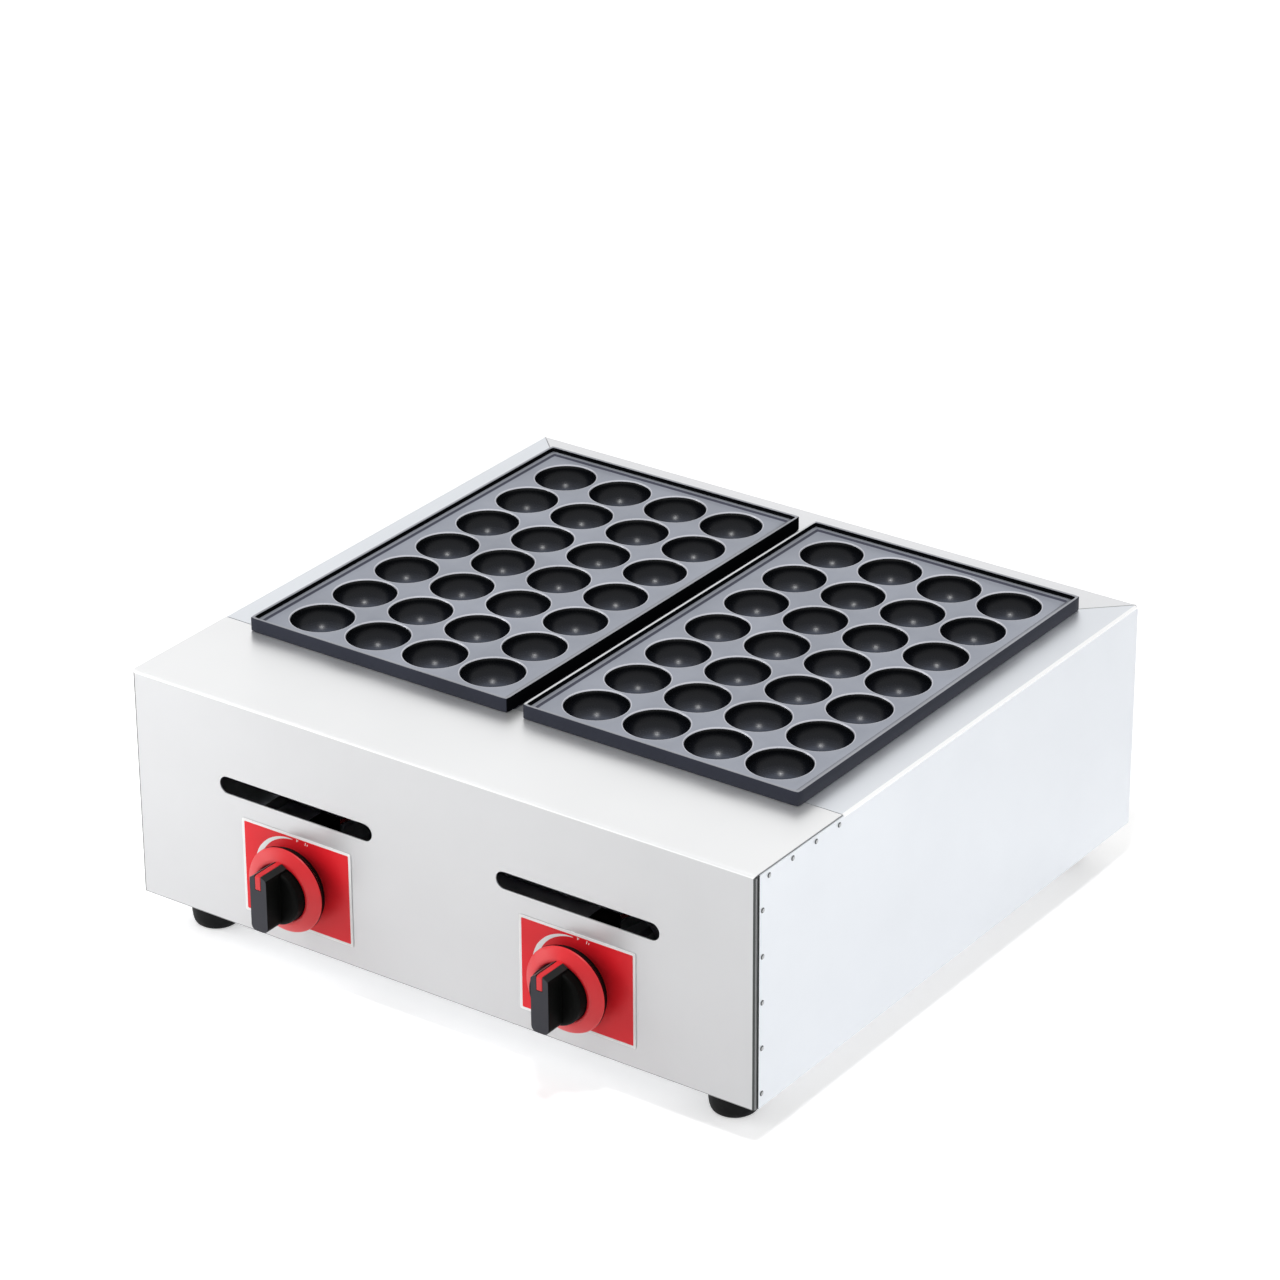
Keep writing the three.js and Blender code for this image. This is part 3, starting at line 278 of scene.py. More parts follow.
# Painted highlight: a lighter copy of the rim's top for the right plate's left rim.
LIP_HIGHLIGHT = coated("plate_lip_painted_highlight", (0.70, 0.71, 0.72), 0.3, 700, 0.1, metallic=0.85)
PLATE_LIP = coated("plate_lip", (0.34, 0.35, 0.38), 0.34, 700, 0.1, metallic=0.85)
PLATE_CUP = turned_cup("cup_coating_painted_glow", rim=(0.002, 0.0025, 0.0034), wall=(0.005, 0.0065, 0.011),
                       bottom=(0.085, 0.096, 0.13), rough=0.25, specular=0.22)
# Painted shade: near-black coating for the groove inside the rim and the walls that face the other
# plate, where shade falls.
PLATE_SHADE = coated("plate_painted_shade", (0.0032, 0.0036, 0.0045), 0.8, 900, 0.2, specular=0.0)
LEDGE = coated("plate_ledge", (0.25, 0.265, 0.30), 0.35, 800, 0.12, metallic=0.8)
LEDGE_EDGE = coated("plate_ledge_edge", (0.055, 0.058, 0.085), 0.4, 800, 0.12, metallic=0.5)

SLOT_MATERIALS = {
    "stainless_sheet": STEEL_X,
    "inner_sheet": SHEET_IN,
    "coated_iron": PLATE_WALL,
    "plated_steel": PLATED,
    "brass": BRASS,
    "cast_metal": CAST,
    "black_plastic": BLACK,
    "red_plastic": RED,
    "printed_plate": RED_PRINT,
    "foot_rubber": RUBBER,
    "ceramic": CERAMIC,
    "cable_sheath": CABLE,
}
for subpart in frame["record"]["subparts"]:
    node = frame["nodes"][subpart["node"]]
    node.data.materials.clear()
    node.data.materials.append(SLOT_MATERIALS[subpart["material_slot"]])


# ---------------------------------------------------------------- mesh helpers
def finish_mesh(name, bm, materials, angle=30.0, merge=1e-7):
    """Mesh object from a bmesh, smooth except at edges steeper than the angle."""
    bmesh.ops.remove_doubles(bm, verts=bm.verts, dist=merge)
    bmesh.ops.recalc_face_normals(bm, faces=bm.faces)
    mesh = bpy.data.meshes.new(name)
    bm.to_mesh(mesh)
    bm.free()
    for material in materials:
        mesh.materials.append(material)
    for polygon in mesh.polygons:
        polygon.use_smooth = True
    mesh.set_sharp_from_angle(angle=math.radians(angle))
    obj = bpy.data.objects.new(name, mesh)
    bpy.context.scene.collection.objects.link(obj)
    return obj


def even_normals(obj):
    """Shade by face area, so large flat faces stay flat beside narrow bends."""
    weighted = obj.modifiers.new("normals", "WEIGHTED_NORMAL")
    weighted.mode = "FACE_AREA"
    weighted.weight = 80
    weighted.keep_sharp = True
    applied(obj)


def applied(obj):
    """Turn the object's modifiers into its mesh."""
    graph = bpy.context.evaluated_depsgraph_get()
    graph.update()
    mesh = bpy.data.meshes.new_from_object(obj.evaluated_get(graph))
    old = obj.data
    obj.modifiers.clear()
    obj.data = mesh
    bpy.data.meshes.remove(old)


def smoothed(obj, angle):
    """Shade smooth except at edges steeper than the angle."""
    for polygon in obj.data.polygons:
        polygon.use_smooth = True
    obj.data.set_sharp_from_angle(angle=math.radians(angle))


def edge_rounded(obj, width, segments=2, angle=40.0):
    """Round the edges that are steeper than the angle."""
    bevel = obj.modifiers.new("edges", "BEVEL")
    bevel.width = width * MM
    bevel.segments = segments
    bevel.limit_method = "ANGLE"
    bevel.angle_limit = math.radians(angle)
    bevel.harden_normals = False
    applied(obj)
    smoothed(obj, 50)
    even_normals(obj)


def prism(bm, outline, axis, low, high, material=0):
    """Closed prism: an outline in two axes, pushed from low to high along the third."""
    place = {
        "x": lambda a, b, t: (t, a, b),
        "y": lambda a, b, t: (a, t, b),
        "z": lambda a, b, t: (a, b, t),
    }[axis]
    ends = []
    for t in (low, high):
        ends.append([bm.verts.new([v * MM for v in place(a, b, t)]) for a, b in outline])
    count = len(outline)
    faces = [bm.faces.new(ends[0]), bm.faces.new(list(reversed(ends[1])))]
    for i in range(count):
        j = (i + 1) % count
        faces.append(bm.faces.new([ends[0][i], ends[1][i], ends[1][j], ends[0][j]]))
    for face in faces:
        face.material_index = material


def box(bm, low, high):
    outline = [(low[0], low[1]), (high[0], low[1]), (high[0], high[1]), (low[0], high[1])]
    prism(bm, outline, "z", low[2], high[2])


def lathe(bm, profile, axis, centre, sides, material=0, closed=False):
    """Turn points of (radius, place along the axis) about an axis through a centre."""
    place = {
        "x": lambda r, t, c, s: (centre[0] + t, centre[1] + r * c, centre[2] + r * s),
        "y": lambda r, t, c, s: (centre[0] + r * c, centre[1] + t, centre[2] + r * s),
        "z": lambda r, t, c, s: (centre[0] + r * c, centre[1] + r * s, centre[2] + t),
    }[axis]
    rings = []
    for radius, along in profile:
        if radius <= 1e-9:
            rings.append([bm.verts.new([v * MM for v in place(0, along, 1, 0)])] * sides)
            continue
        ring = []
        for i in range(sides):
            angle = 2 * math.pi * i / sides
            point = place(radius, along, math.cos(angle), math.sin(angle))
            ring.append(bm.verts.new([v * MM for v in point]))
        rings.append(ring)
    pairs = list(zip(rings, rings[1:]))
    if closed:
        pairs.append((rings[-1], rings[0]))
    for first, second in pairs:
        for i in range(sides):
            j = (i + 1) % sides
            corners = []
            for vert in (first[i], first[j], second[j], second[i]):
                if vert not in corners:
                    corners.append(vert)
            if len(corners) > 2:
                bm.faces.new(corners).material_index = material


def arc(cx, cy, radius, start, end, steps):
    """Points of an arc, angles in degrees."""
    points = []
    for i in range(steps + 1):
        angle = math.radians(start + (end - start) * i / steps)
        points.append((cx + radius * math.cos(angle), cy + radius * math.sin(angle)))
    return points


def obround(cx, cy, width, height, steps=24):
    """Outline of a slot with round ends."""
    radius = min(width, height) / 2
    reach = abs(width - height) / 2
    if width > height:
        return (arc(cx + reach, cy, radius, -90, 90, steps)
                + arc(cx - reach, cy, radius, 90, 270, steps))
    return (arc(cx, cy + reach, radius, 0, 180, steps)
            + arc(cx, cy - reach, radius, 180, 360, steps))


def bent(points):
    """Outline of the sheet that follows a mid-line with square bends."""
    mid_radius = BEND - SHEET / 2
    steps = 8
    line = [Vector(p) for p in points]
    near, far = [], []
    for i, point in enumerate(line):
        if i in (0, len(line) - 1):
            a, b = (point, line[1]) if i == 0 else (line[i - 1], point)
            along = (b - a).normalized()
            across = Vector((-along.y, along.x)) * SHEET / 2
            near.append(point + across)
            far.append(point - across)
            continue
        into = (point - line[i - 1]).normalized()
        out = (line[i + 1] - point).normalized()
        turn = 1 if into.x * out.y - into.y * out.x > 0 else -1
        centre = point - into * mid_radius + out * mid_radius
        for step in range(steps + 1):
            angle = step / steps * math.pi / 2
            spoke = into * math.sin(angle) - out * math.cos(angle)
            near.append(centre + spoke * (mid_radius - turn * SHEET / 2))
            far.append(centre + spoke * (mid_radius + turn * SHEET / 2))
    return [tuple(p) for p in near + far[::-1]]


def minus(obj, shapes):
    """Cut closed shapes out of an object. Each shape is a function that adds them to a mesh."""
    bm = bmesh.new()
    for shape in shapes:
        shape(bm)
    cutter = finish_mesh(obj.name + "_cutter", bm, [])
    boolean = obj.modifiers.new("cut", "BOOLEAN")
    boolean.operation = "DIFFERENCE"
    boolean.solver = "EXACT"
    boolean.use_self = True
    boolean.object = cutter
    applied(obj)
    mesh = cutter.data
    bpy.data.objects.remove(cutter)
    bpy.data.meshes.remove(mesh)
    smoothed(obj, 30)


def hold(obj, body, node=None):
    """Put a piece on its body and the solid that it replaces."""
    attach(obj, body)
    if node:
        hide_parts(node)


# ---------------------------------------------------------------- cabinet sheets
def corner_cutter(m, hand):
    """What is outside the rounded bend between the front face and a side return."""
    x, y = INNER - RETURN_BEND, FRONT + RETURN_BEND
    outline = [(x, FRONT - 2), (INNER + 2, FRONT - 2), (INNER + 2, y)]
    outline += arc(x, y, RETURN_BEND, 0, -90, 8)
    prism(m, [(hand * a, b) for a, b in outline], "z", BOTTOM - 2, TOP + 2)


def hole_cutter(m, x, z, radius, front, back):
    """Round hole along Y."""
    prism(m, arc(x, z, radius, 0, 352.5, 47), "y", front, back)


def front_panel():
    """Face, bend and front top strip as one sheet, a strip of painted shade along its lower edge,
    and its side returns in the grey shade material.
    """
    mid = SHEET / 2
    bm = bmesh.new()
    line = [(FRONT + mid, BOTTOM), (FRONT + mid, TOP - mid), (SEAM, TOP - mid)]
    prism(bm, bent(line), "x", -INNER, INNER)
    panel = finish_mesh("front_sheet", bm, [STEEL_X, EDGE_SHADE_DARK, STEEL_FACE_SHADED, EDGE_SHADE_LIGHT])
    top_skin, bend_skin, face_skin, seam_skin = range(4)
    low, high = FRONT - 5, FRONT + 5
    cuts = []
    for _, hand in HANDS:
        x = hand * PLATE_X
        slot = obround(x, SLOT_Z, SLOT_LENGTH, SLOT_HEIGHT)
        cuts.append(lambda m, s=slot: prism(m, s, "y", low, high))
        cuts.append(lambda m, x=x: hole_cutter(m, x, KNOB_Z, SPINDLE_HOLE, low, high))
        cuts.append(lambda m, x=x: box(m, (x - WELL_HALF, WELL_FRONT, TOP - OVERRUN),
                                       (x + WELL_HALF, SEAM + 9, TOP + OVERRUN)))
        cuts.append(lambda m, hand=hand: corner_cutter(m, hand))
    minus(panel, cuts)
    edge_rounded(panel, 0.18)
    # Painted shade: the side bends' faces get the dark bend material and the faces behind them the
    # grey seam material.
    for polygon in panel.data.polygons:
        if abs(polygon.center.x) > (INNER - 1.5) * MM and abs(polygon.normal.z) < 0.5:
            behind_bend = polygon.center.y > (FRONT + 4) * MM
            polygon.material_index = seam_skin if behind_bend else bend_skin
        # The front face gets the darker, shaded copy of the steel.
        elif polygon.material_index == top_skin and polygon.center.z < (TOP - BEND) * MM:
            polygon.material_index = face_skin
    hold(panel, "cabinet", "front_panel")

    # Painted shade: a thin grey strip along the front's lower edge stands in for the shade under its
    # folded hem.
    bm = bmesh.new()
    edge = INNER - RETURN_BEND
    box(bm, (-edge, FRONT - 0.03, BOTTOM), (edge, FRONT + 0.2, BOTTOM + 0.55))
    hold(finish_mesh("front_hem_shade_line", bm, [EDGE_SHADE_GREY]), "cabinet")

    # The side returns are painted in the grey shade material.
    for word, hand in HANDS:
        bm = bmesh.new()
        low, high = sorted((hand * INNER, hand * (INNER - SHEET)))
        box(bm, (low, FRONT + 0.9, BOTTOM), (high, FRONT + 31, TOP - BEND))
        box(bm, (low, FRONT + BEND, TOP - TOP_RETURN), (high, SEAM, TOP - SHEET - 0.1))
        piece = finish_mesh(f"front_return_{word}", bm, [EDGE_SHADE_GREY])
        minus(piece, [lambda m, hand=hand: corner_cutter(m, hand)])
        hold(piece, "cabinet")


def rivet_places():
    """Places (y, z) of one side's rivets: a column by the front edge, a row by the top edge."""
    column = [(FRONT + 7.4, TOP - 29 - i * 36) for i in range(5)]
    return column + [(FRONT + 14.9 + i * 28.8, TOP - 5.2) for i in range(4)]


def rivets():
    """Domed heads on the flanks, with a short shank through them and a ring of painted shade round
    each head.
    """
    base = OUTER + 0.05
    shank_end = INNER - 0.4
    crown = [(0.0, base + 0.95), (0.6, base + 0.9), (1.15, base + 0.72), (1.4, base + 0.6)]
    skirt = [(1.4, base + 0.6), (1.8, base + 0.3), (2.05, base), (1.05, base),
             (1.05, shank_end), (0.0, shank_end)]
    for word, hand in HANDS:
        bm = bmesh.new()
        for y, z in rivet_places():
            lathe(bm, [(r, hand * t) for r, t in crown], "x", (0, y, z), 20, 0)
            lathe(bm, [(r, hand * t) for r, t in skirt], "x", (0, y, z), 20, 1)
        piece = finish_mesh(f"rivets_{word}", bm, [RIVET, RIVET_SHADE], 45)
        hold(piece, "cabinet")


def mitre_y(x):
    """Rear end of a side's top strip, at x from the middle."""
    return REAR - (OUTER - x) * MITRE - SEAT


def mitre_x(y):
    """Outer end of the rear's top strip, at y."""
    return OUTER - (REAR - y) / MITRE - SEAT


def side_fold(word, hand):
    """Side sheet behind the seam: flank, top strip and the lip into the well."""
    mid = SHEET / 2
    line = [(OUTER - mid, BOTTOM), (OUTER - mid, TOP - mid), (WELL_X + mid, TOP - mid),
            (WELL_X + mid, TOP - TOP_RETURN)]
    bm = bmesh.new()
    prism(bm, bent([(hand * a, b) for a, b in line]), "y", SEAM + 0.8, REAR - 1.5)
    panel = finish_mesh(f"side_fold_{word}", bm, [STEEL_Y, STEEL_BEND_LIT])
    bend_skin = 1
    fold = OUTER - BEND
    end = WELL_X - OVERRUN
    wedge = [(hand * fold, mitre_y(fold)), (hand * end, mitre_y(end)),
             (hand * end, REAR + OVERRUN), (hand * fold, REAR + OVERRUN)]
    low, high = sorted((hand * end, hand * (OUTER + OVERRUN)))
    minus(panel, [
        lambda m: prism(m, wedge, "z", TOP - 20, TOP + OVERRUN),
        lambda m: box(m, (low, REAR - BEND - SEAT, TOP - BEND - SEAT),
                      (high, REAR + OVERRUN, TOP + OVERRUN)),
    ])
    edge_rounded(panel, 0.2)
    # Painted highlight: the bend faces get the whiter, shinier copy of the steel.
    for polygon in panel.data.polygons:
        if abs(polygon.center.x) > fold * MM and 0.25 < polygon.normal.z < 0.97:
            polygon.material_index = bend_skin
    hold(panel, "cabinet", f"side_panel_{word}")


def mitre_seam(word, hand, half):
    """Thin strip of painted shade along the mitred joint of two top strips."""
    bm = bmesh.new()
    near, far = WELL_X + 0.5, OUTER - 1.8
    lean = math.hypot(1, MITRE)
    dx, dy = half * MITRE / lean, half / lean
    line = [(near, mitre_y(near)), (far, mitre_y(far))]
    strip = [(a + dx, b - dy) for a, b in line] + [(a - dx, b + dy) for a, b in line[::-1]]
    prism(bm, [(hand * a, b) for a, b in strip], "z", TOP - 0.3, TOP + 0.03)
    hold(finish_mesh(f"mitre_seam_{word}", bm, [EDGE_SHADE_GREY]), "cabinet")


def side_flank(word, hand):
    """Flat part of the flank in front of the seam, with the rivets' holes."""
    bm = bmesh.new()
    low, high = sorted((hand * (OUTER - SHEET), hand * OUTER))
    front, rear, top = FRONT + 3.6, SEAM + 0.9, TOP - 0.9
    outline = [(front, BOTTOM), (rear, BOTTOM), (rear, top), (front + 0.5, top), (front, top - 0.5)]
    prism(bm, outline, "x", low, high)
    flank = finish_mesh(f"side_flank_{word}", bm, [STEEL_Y, EDGE_SHADE_DARK])
    edge_skin = 1
    hole = [(0.0, -3), (1.3, -3), (1.3, 3), (0.0, 3)]

    def rivet_holes(m):
        for y, z in rivet_places():
            lathe(m, [(r, hand * (OUTER + t)) for r, t in hole], "x", (0, y, z), 20)

    minus(flank, [rivet_holes])
    # Painted shade on the flank's front cut edge, partly darker raw cut edge and partly the shade of
    # the gap beside it.
    for polygon in flank.data.polygons:
        if polygon.normal.y < -0.5:
            polygon.material_index = edge_skin
    even_normals(flank)
    hold(flank, "cabinet")


def side_panels():
    for (word, hand), seam_half in zip(HANDS, (0.12, 0.42)):
        side_fold(word, hand)
        mitre_seam(word, hand, seam_half)
        side_flank(word, hand)


def rear_panel():
    """Rear face with its vents and top strip as one sheet, and its side returns."""
    mid = SHEET / 2
    line = [(REAR - mid, BOTTOM), (REAR - mid, TOP - mid), (WELL_REAR + mid, TOP - mid),
            (WELL_REAR + mid, TOP - TOP_RETURN)]
    bm = bmesh.new()
    prism(bm, bent(line), "x", -INNER, INNER)
    panel = finish_mesh("rear_sheet", bm, [STEEL_Z])
    fold = REAR - BEND
    end = WELL_REAR - OVERRUN
    side = OUTER + OVERRUN
    low, high = REAR - 5, REAR + 5
    cuts = []
    for _, hand in HANDS:
        wedge = [(hand * mitre_x(fold), fold), (hand * mitre_x(end), end),
                 (hand * side, end), (hand * side, fold)]
        cuts.append(lambda m, w=wedge: prism(m, w, "z", TOP - 20, TOP + OVERRUN))
        for i in range(VENT_COUNT):
            x = hand * PLATE_X + (i - (VENT_COUNT - 1) / 2) * VENT_PITCH
            vent = obround(x, VENT_Z, VENT_WIDTH, VENT_HEIGHT, 12)
            cuts.append(lambda m, v=vent: prism(m, v, "y", low, high))
    cuts.append(lambda m: hole_cutter(m, ELBOW_X, PIPE_Z, PIPE_HOLE, low, high))
    minus(panel, cuts)
    edge_rounded(panel, 0.2)
    hold(panel, "cabinet", "rear_panel")

    bm = bmesh.new()
    for _, hand in HANDS:
        low_x, high_x = sorted((hand * INNER, hand * (INNER - SHEET)))
        box(bm, (low_x, REAR - 20, BOTTOM), (high_x, REAR - 0.9, TOP - 18))
    hold(finish_mesh("rear_returns", bm, [STEEL_Z]), "cabinet")


# ---------------------------------------------------------------- grill plates
def cell_loop(centre):
    """Evenly spaced points round a cup's cell, from its lower left corner."""
    cx, cy = centre
    wide, deep = PITCH_X / 2, PITCH_Y / 2
    corners = [(cx - wide, cy - deep), (cx + wide, cy - deep),
               (cx + wide, cy + deep), (cx - wide, cy + deep)]
    points = []
    for (ax, ay), (bx, by) in zip(corners, corners[1:] + corners[:1]):
        for i in range(CELL_STEPS):
            t = i / CELL_STEPS
            points.append((ax + (bx - ax) * t, ay + (by - ay) * t))
    return points


def ring_faces(bm, first, second, material):
    """Faces between two loops that have the same number of points."""
    pairs = zip(first, first[1:] + first[:1], second[1:] + second[:1], second)
    faces = [bm.faces.new(corners) for corners in pairs]
    for face in faces:
        face.material_index = material
    return faces


def cup_cell(bm, centre, profile, flat_z, materials, uv=None):
    """One cell of plate with a cup in it.

    The profile gives (radius, z) from the mouth inward. The materials are for the flat part,
    the mouth's edge and the rest.
    """
    cx, cy = centre
    loops = [[bm.verts.new((x * MM, y * MM, flat_z * MM)) for x, y in cell_loop(centre)]]
    count = len(loops[0])
    turns = [math.radians(-135) + 2 * math.pi * i / count for i in range(count)]
    for radius, z in profile:
        places = [(cx + radius * math.cos(turn), cy + radius * math.sin(turn)) for turn in turns]
        loops.append([bm.verts.new((x * MM, y * MM, z * MM)) for x, y in places])
    flat, mouth, inside = materials
    ring_faces(bm, loops[0], loops[1], flat)
    cup = []
    for k in range(1, len(loops) - 1):
        cup += ring_faces(bm, loops[k], loops[k + 1], mouth if k <= 2 else inside)
    bottom = bm.faces.new(loops[-1])
    bottom.material_index = inside
    if uv:
        for face in cup + [bottom]:
            for corner in face.loops:
                x, y, _ = corner.vert.co / MM
                corner[uv].uv = ((x - cx) / CUP_RADIUS, (y - cy) / CUP_RADIUS)


def cup_cells(bm, hand, profile, flat_z, materials, uv=None):
    """All cells of one plate."""
    for column in range(COLUMNS):
        for row in range(ROWS):
            x = hand * PLATE_X + (column - (COLUMNS - 1) / 2) * PITCH_X
            y = PLATE_Y + (row - (ROWS - 1) / 2) * PITCH_Y
            cup_cell(bm, (x, y), profile, flat_z, materials, uv)


def frame_loop(bm, centre, wide, deep, z, corner=0.0):
    """A rectangle loop whose points match the cells' edges, with rounded corners if asked."""
    cx, cy = centre
    x0, x1, y0, y1 = cx - wide / 2, cx + wide / 2, cy - deep / 2, cy + deep / 2
    corners = [(x0, y0), (x1, y0), (x1, y1), (x0, y1)]
    points = []
    for k in range(4):
        (ax, ay), (bx, by) = corners[k], corners[(k + 1) % 4]
        count = (ROWS if k % 2 else COLUMNS) * CELL_STEPS
        for i in range(count):
            t = i / count
            x, y = ax + (bx - ax) * t, ay + (by - ay) * t
            dx = x - min(max(x, x0 + corner), x1 - corner)
            dy = y - min(max(y, y0 + corner), y1 - corner)
            if corner > 0 and abs(dx) > 1e-9 and abs(dy) > 1e-9:
                reach = math.hypot(dx, dy)
                x += dx / reach * corner - dx
                y += dy / reach * corner - dy
            points.append(bm.verts.new((x * MM, y * MM, z * MM)))
    return points


def grill_plate(word, hand):
    """Plate with its cups, the ledge round them, the groove, the rim and the underside, with painted
    shade in the groove and on the walls facing the other plate, and a painted highlight on the right
    plate's left rim.
    """
    skins = [PLATE_TOP, PLATE_WALL, PLATE_CUP, PLATE_LIP, MOUTH_HIGHLIGHT, PLATE_SHADE, LEDGE, LEDGE_EDGE,
             LIP_HIGHLIGHT]
    skin = skins.index
    bm = bmesh.new()
    fillet = 1.1
    inside = [(CUP_RADIUS + fillet, CUP_PLANE), (CUP_RADIUS + fillet * 0.42, CUP_PLANE - 0.14),
              (CUP_RADIUS, CUP_PLANE - 0.8)]
    for i in range(1, 15):
        angle = math.radians(3 + 87 * i / 15)
        inside.append((CUP_RADIUS * math.cos(angle), CUP_PLANE - CUP_DEPTH * math.sin(angle)))
    inside.append((CUP_RADIUS * 0.03, CUP_PLANE - CUP_DEPTH))
    uv = bm.loops.layers.uv.new("cup")
    cup_cells(bm, hand, inside, CUP_PLANE, (skin(PLATE_TOP), skin(MOUTH_HIGHLIGHT), skin(PLATE_CUP)), uv)

    centre = (hand * PLATE_X, PLATE_Y)

    def field(z):
        return frame_loop(bm, centre, COLUMNS * PITCH_X, ROWS * PITCH_Y, z)

    def loop(inset, z, corner):
        return frame_loop(bm, centre, PLATE_WIDTH - inset, PLATE_LENGTH - inset, z, corner)

    slope = [loop(16.0, CUP_PLANE, 0.8), loop(15.3, CUP_PLANE + 0.1, 0.9),
             loop(13.3, LEDGE_TOP - 0.15, 1.0), loop(12.8, LEDGE_TOP, 1.1)]
    groove = [loop(6.2, LEDGE_TOP, 1.5), loop(5.3, LEDGE_TOP + 0.2, 1.6),
              loop(4.8, LEDGE_TOP + 0.7, 1.6), loop(4.2, RIM_TOP - 0.35, 1.7)]
    lip = [groove[-1], loop(4.0, RIM_TOP - 0.1, 1.8), loop(3.5, RIM_TOP, 1.8),
           loop(1.4, RIM_TOP, 2.1), loop(0.6, RIM_TOP - 0.12, 2.3)]
    outside = [lip[-1], loop(0.2, RIM_TOP - 0.35, 2.4), loop(0, RIM_TOP - 0.8, 2.4),
               loop(0, PLATE_BASE + 0.5, 2.4), loop(0.3, PLATE_BASE + 0.1, 2.3),
               loop(0.9, PLATE_BASE, 2.2), loop(7.0, PLATE_BASE, 1.5),
               loop(8.0, PLATE_BASE + 0.5, 1.5), loop(8.0, CUP_UNDERSIDE, 1.5), field(CUP_UNDERSIDE)]
    bands = [(PLATE_TOP, [field(CUP_PLANE), slope[0]]), (LEDGE_EDGE, slope),
             (LEDGE, [slope[-1], groove[0]]), (PLATE_SHADE, groove), (PLATE_LIP, lip),
             (PLATE_WALL, outside)]
    for material, loops in bands:
        for first, second in zip(loops, loops[1:]):
            ring_faces(bm, first, second, skin(material))

    below = [(25.3, CUP_UNDERSIDE), (25.25, CUP_PLANE - 9.0)]
    for i in range(1, 9):
        angle = math.radians(23 + 67 * i / 9)
        below.append((27.5 * math.cos(angle), CUP_PLANE - 2 - 23.5 * math.sin(angle)))
    below.append((1.0, CUP_PLANE - 25.5))
    cup_cells(bm, hand, below, CUP_UNDERSIDE, [skin(PLATE_WALL)] * 3)

    plate = finish_mesh(f"cup_plate_{word}", bm, skins, 38, 1e-6)
    highlight_to = (centre[0] - PLATE_WIDTH / 2 + 2.3) * MM
    for polygon in plate.data.polygons:
        # Painted shade on the walls that face the other plate.
        if polygon.material_index == skin(PLATE_WALL) and polygon.normal.x * hand < -0.5:
            polygon.material_index = skin(PLATE_SHADE)
        # Painted highlight on the right plate's left rim.
        if hand > 0 and polygon.material_index == skin(PLATE_LIP) and polygon.center.x < highlight_to:
            polygon.material_index = skin(LIP_HIGHLIGHT)
    hold(plate, f"grill_plate_{word}", f"grill_plate_{word}")


# ---------------------------------------------------------------- knobs and dials
def rounded(cx, cy, wide, high, radius):
    """Outline of a rectangle with round corners."""
    points = []
    for turn, (side_x, side_y) in enumerate(((1, 1), (-1, 1), (-1, -1), (1, -1))):
        points += arc(cx + side_x * (wide / 2 - radius), cy + side_y * (high / 2 - radius), radius,
                      90 * turn, 90 * turn + 90, 4)
    return points


def dial(word, x):
    """Red plate with a white edge, a tapered white arc and four small marks."""
    wide, high, border = 100.0, 76.4, 4.2
    white = 1
    back, front = FRONT - 0.3, FRONT - 0.7
    bm = bmesh.new()
    prism(bm, rounded(x, KNOB_Z, wide, high, 1.2), "y", front, back, white)
    field = rounded(x, KNOB_Z, wide - border, high - border, 0.8)
    prism(bm, field, "y", front - 0.05, front + 0.05)

    def white_band(steps):
        """White print through (clock angle, inner radius, outer radius), clockwise from the top."""
        inner, outer = [], []
        for clock, r0, r1 in steps:
            angle = math.radians(90 - clock)
            inner.append((x + r0 * math.cos(angle), KNOB_Z + r0 * math.sin(angle)))
            outer.append((x + r1 * math.cos(angle), KNOB_Z + r1 * math.sin(angle)))
        prism(bm, inner + outer[::-1], "y", front - 0.09, front, white)

    sweep = []
    for i in range(41):
        t = i / 40
        grow = min(1.0, t / 0.45) ** 0.8
        fade = 1.0 if t < 0.6 else 1 - (t - 0.6) / 0.4 * 0.85
        inner = 34.2 + 0.9 * min(1.0, t / 0.3)
        sweep.append((-5 - 125 * t, inner, inner + 0.25 + 3.7 * grow * fade))
    white_band(sweep)
    marks = ((1.0, 33.4, 35.4), (2.6, 34.2, 35.2), (14.0, 33.8, 36.2), (17.0, 34.2, 35.8))
    for start, r0, r1 in marks:
        white_band([(start + k * 0.5, r0, r1) for k in range(3)])
    piece = finish_mesh(f"dial_{word}", bm, [RED_PRINT, WHITE_PRINT])
    minus(piece, [lambda m: hole_cutter(m, x, KNOB_Z, SPINDLE_HOLE, FRONT - 3, FRONT + 2)])
    hold(piece, "cabinet", f"dial_plate_{word}")


def knob_hub(word, centre):
    """Black base disc and the hub on it."""
    bm = bmesh.new()
    profile = [(4.2, 0), (30.3, 0), (31, -0.8), (31, -4.2), (30.3, -5.0), (22.0, -5.0),
               (22.0, -19.4), (21.8, -20.4), (21.2, -21.3), (20.2, -21.9), (19.0, -22.0),
               (0, -22.0), (0, -20.0), (4.2, -20.0)]
    lathe(bm, profile, "y", centre, 96, closed=True)
    hub = finish_mesh(f"knob_hub_{word}", bm, [BLACK], 42)
    hold(hub, f"knob_{word}", f"control_knob_{word}")


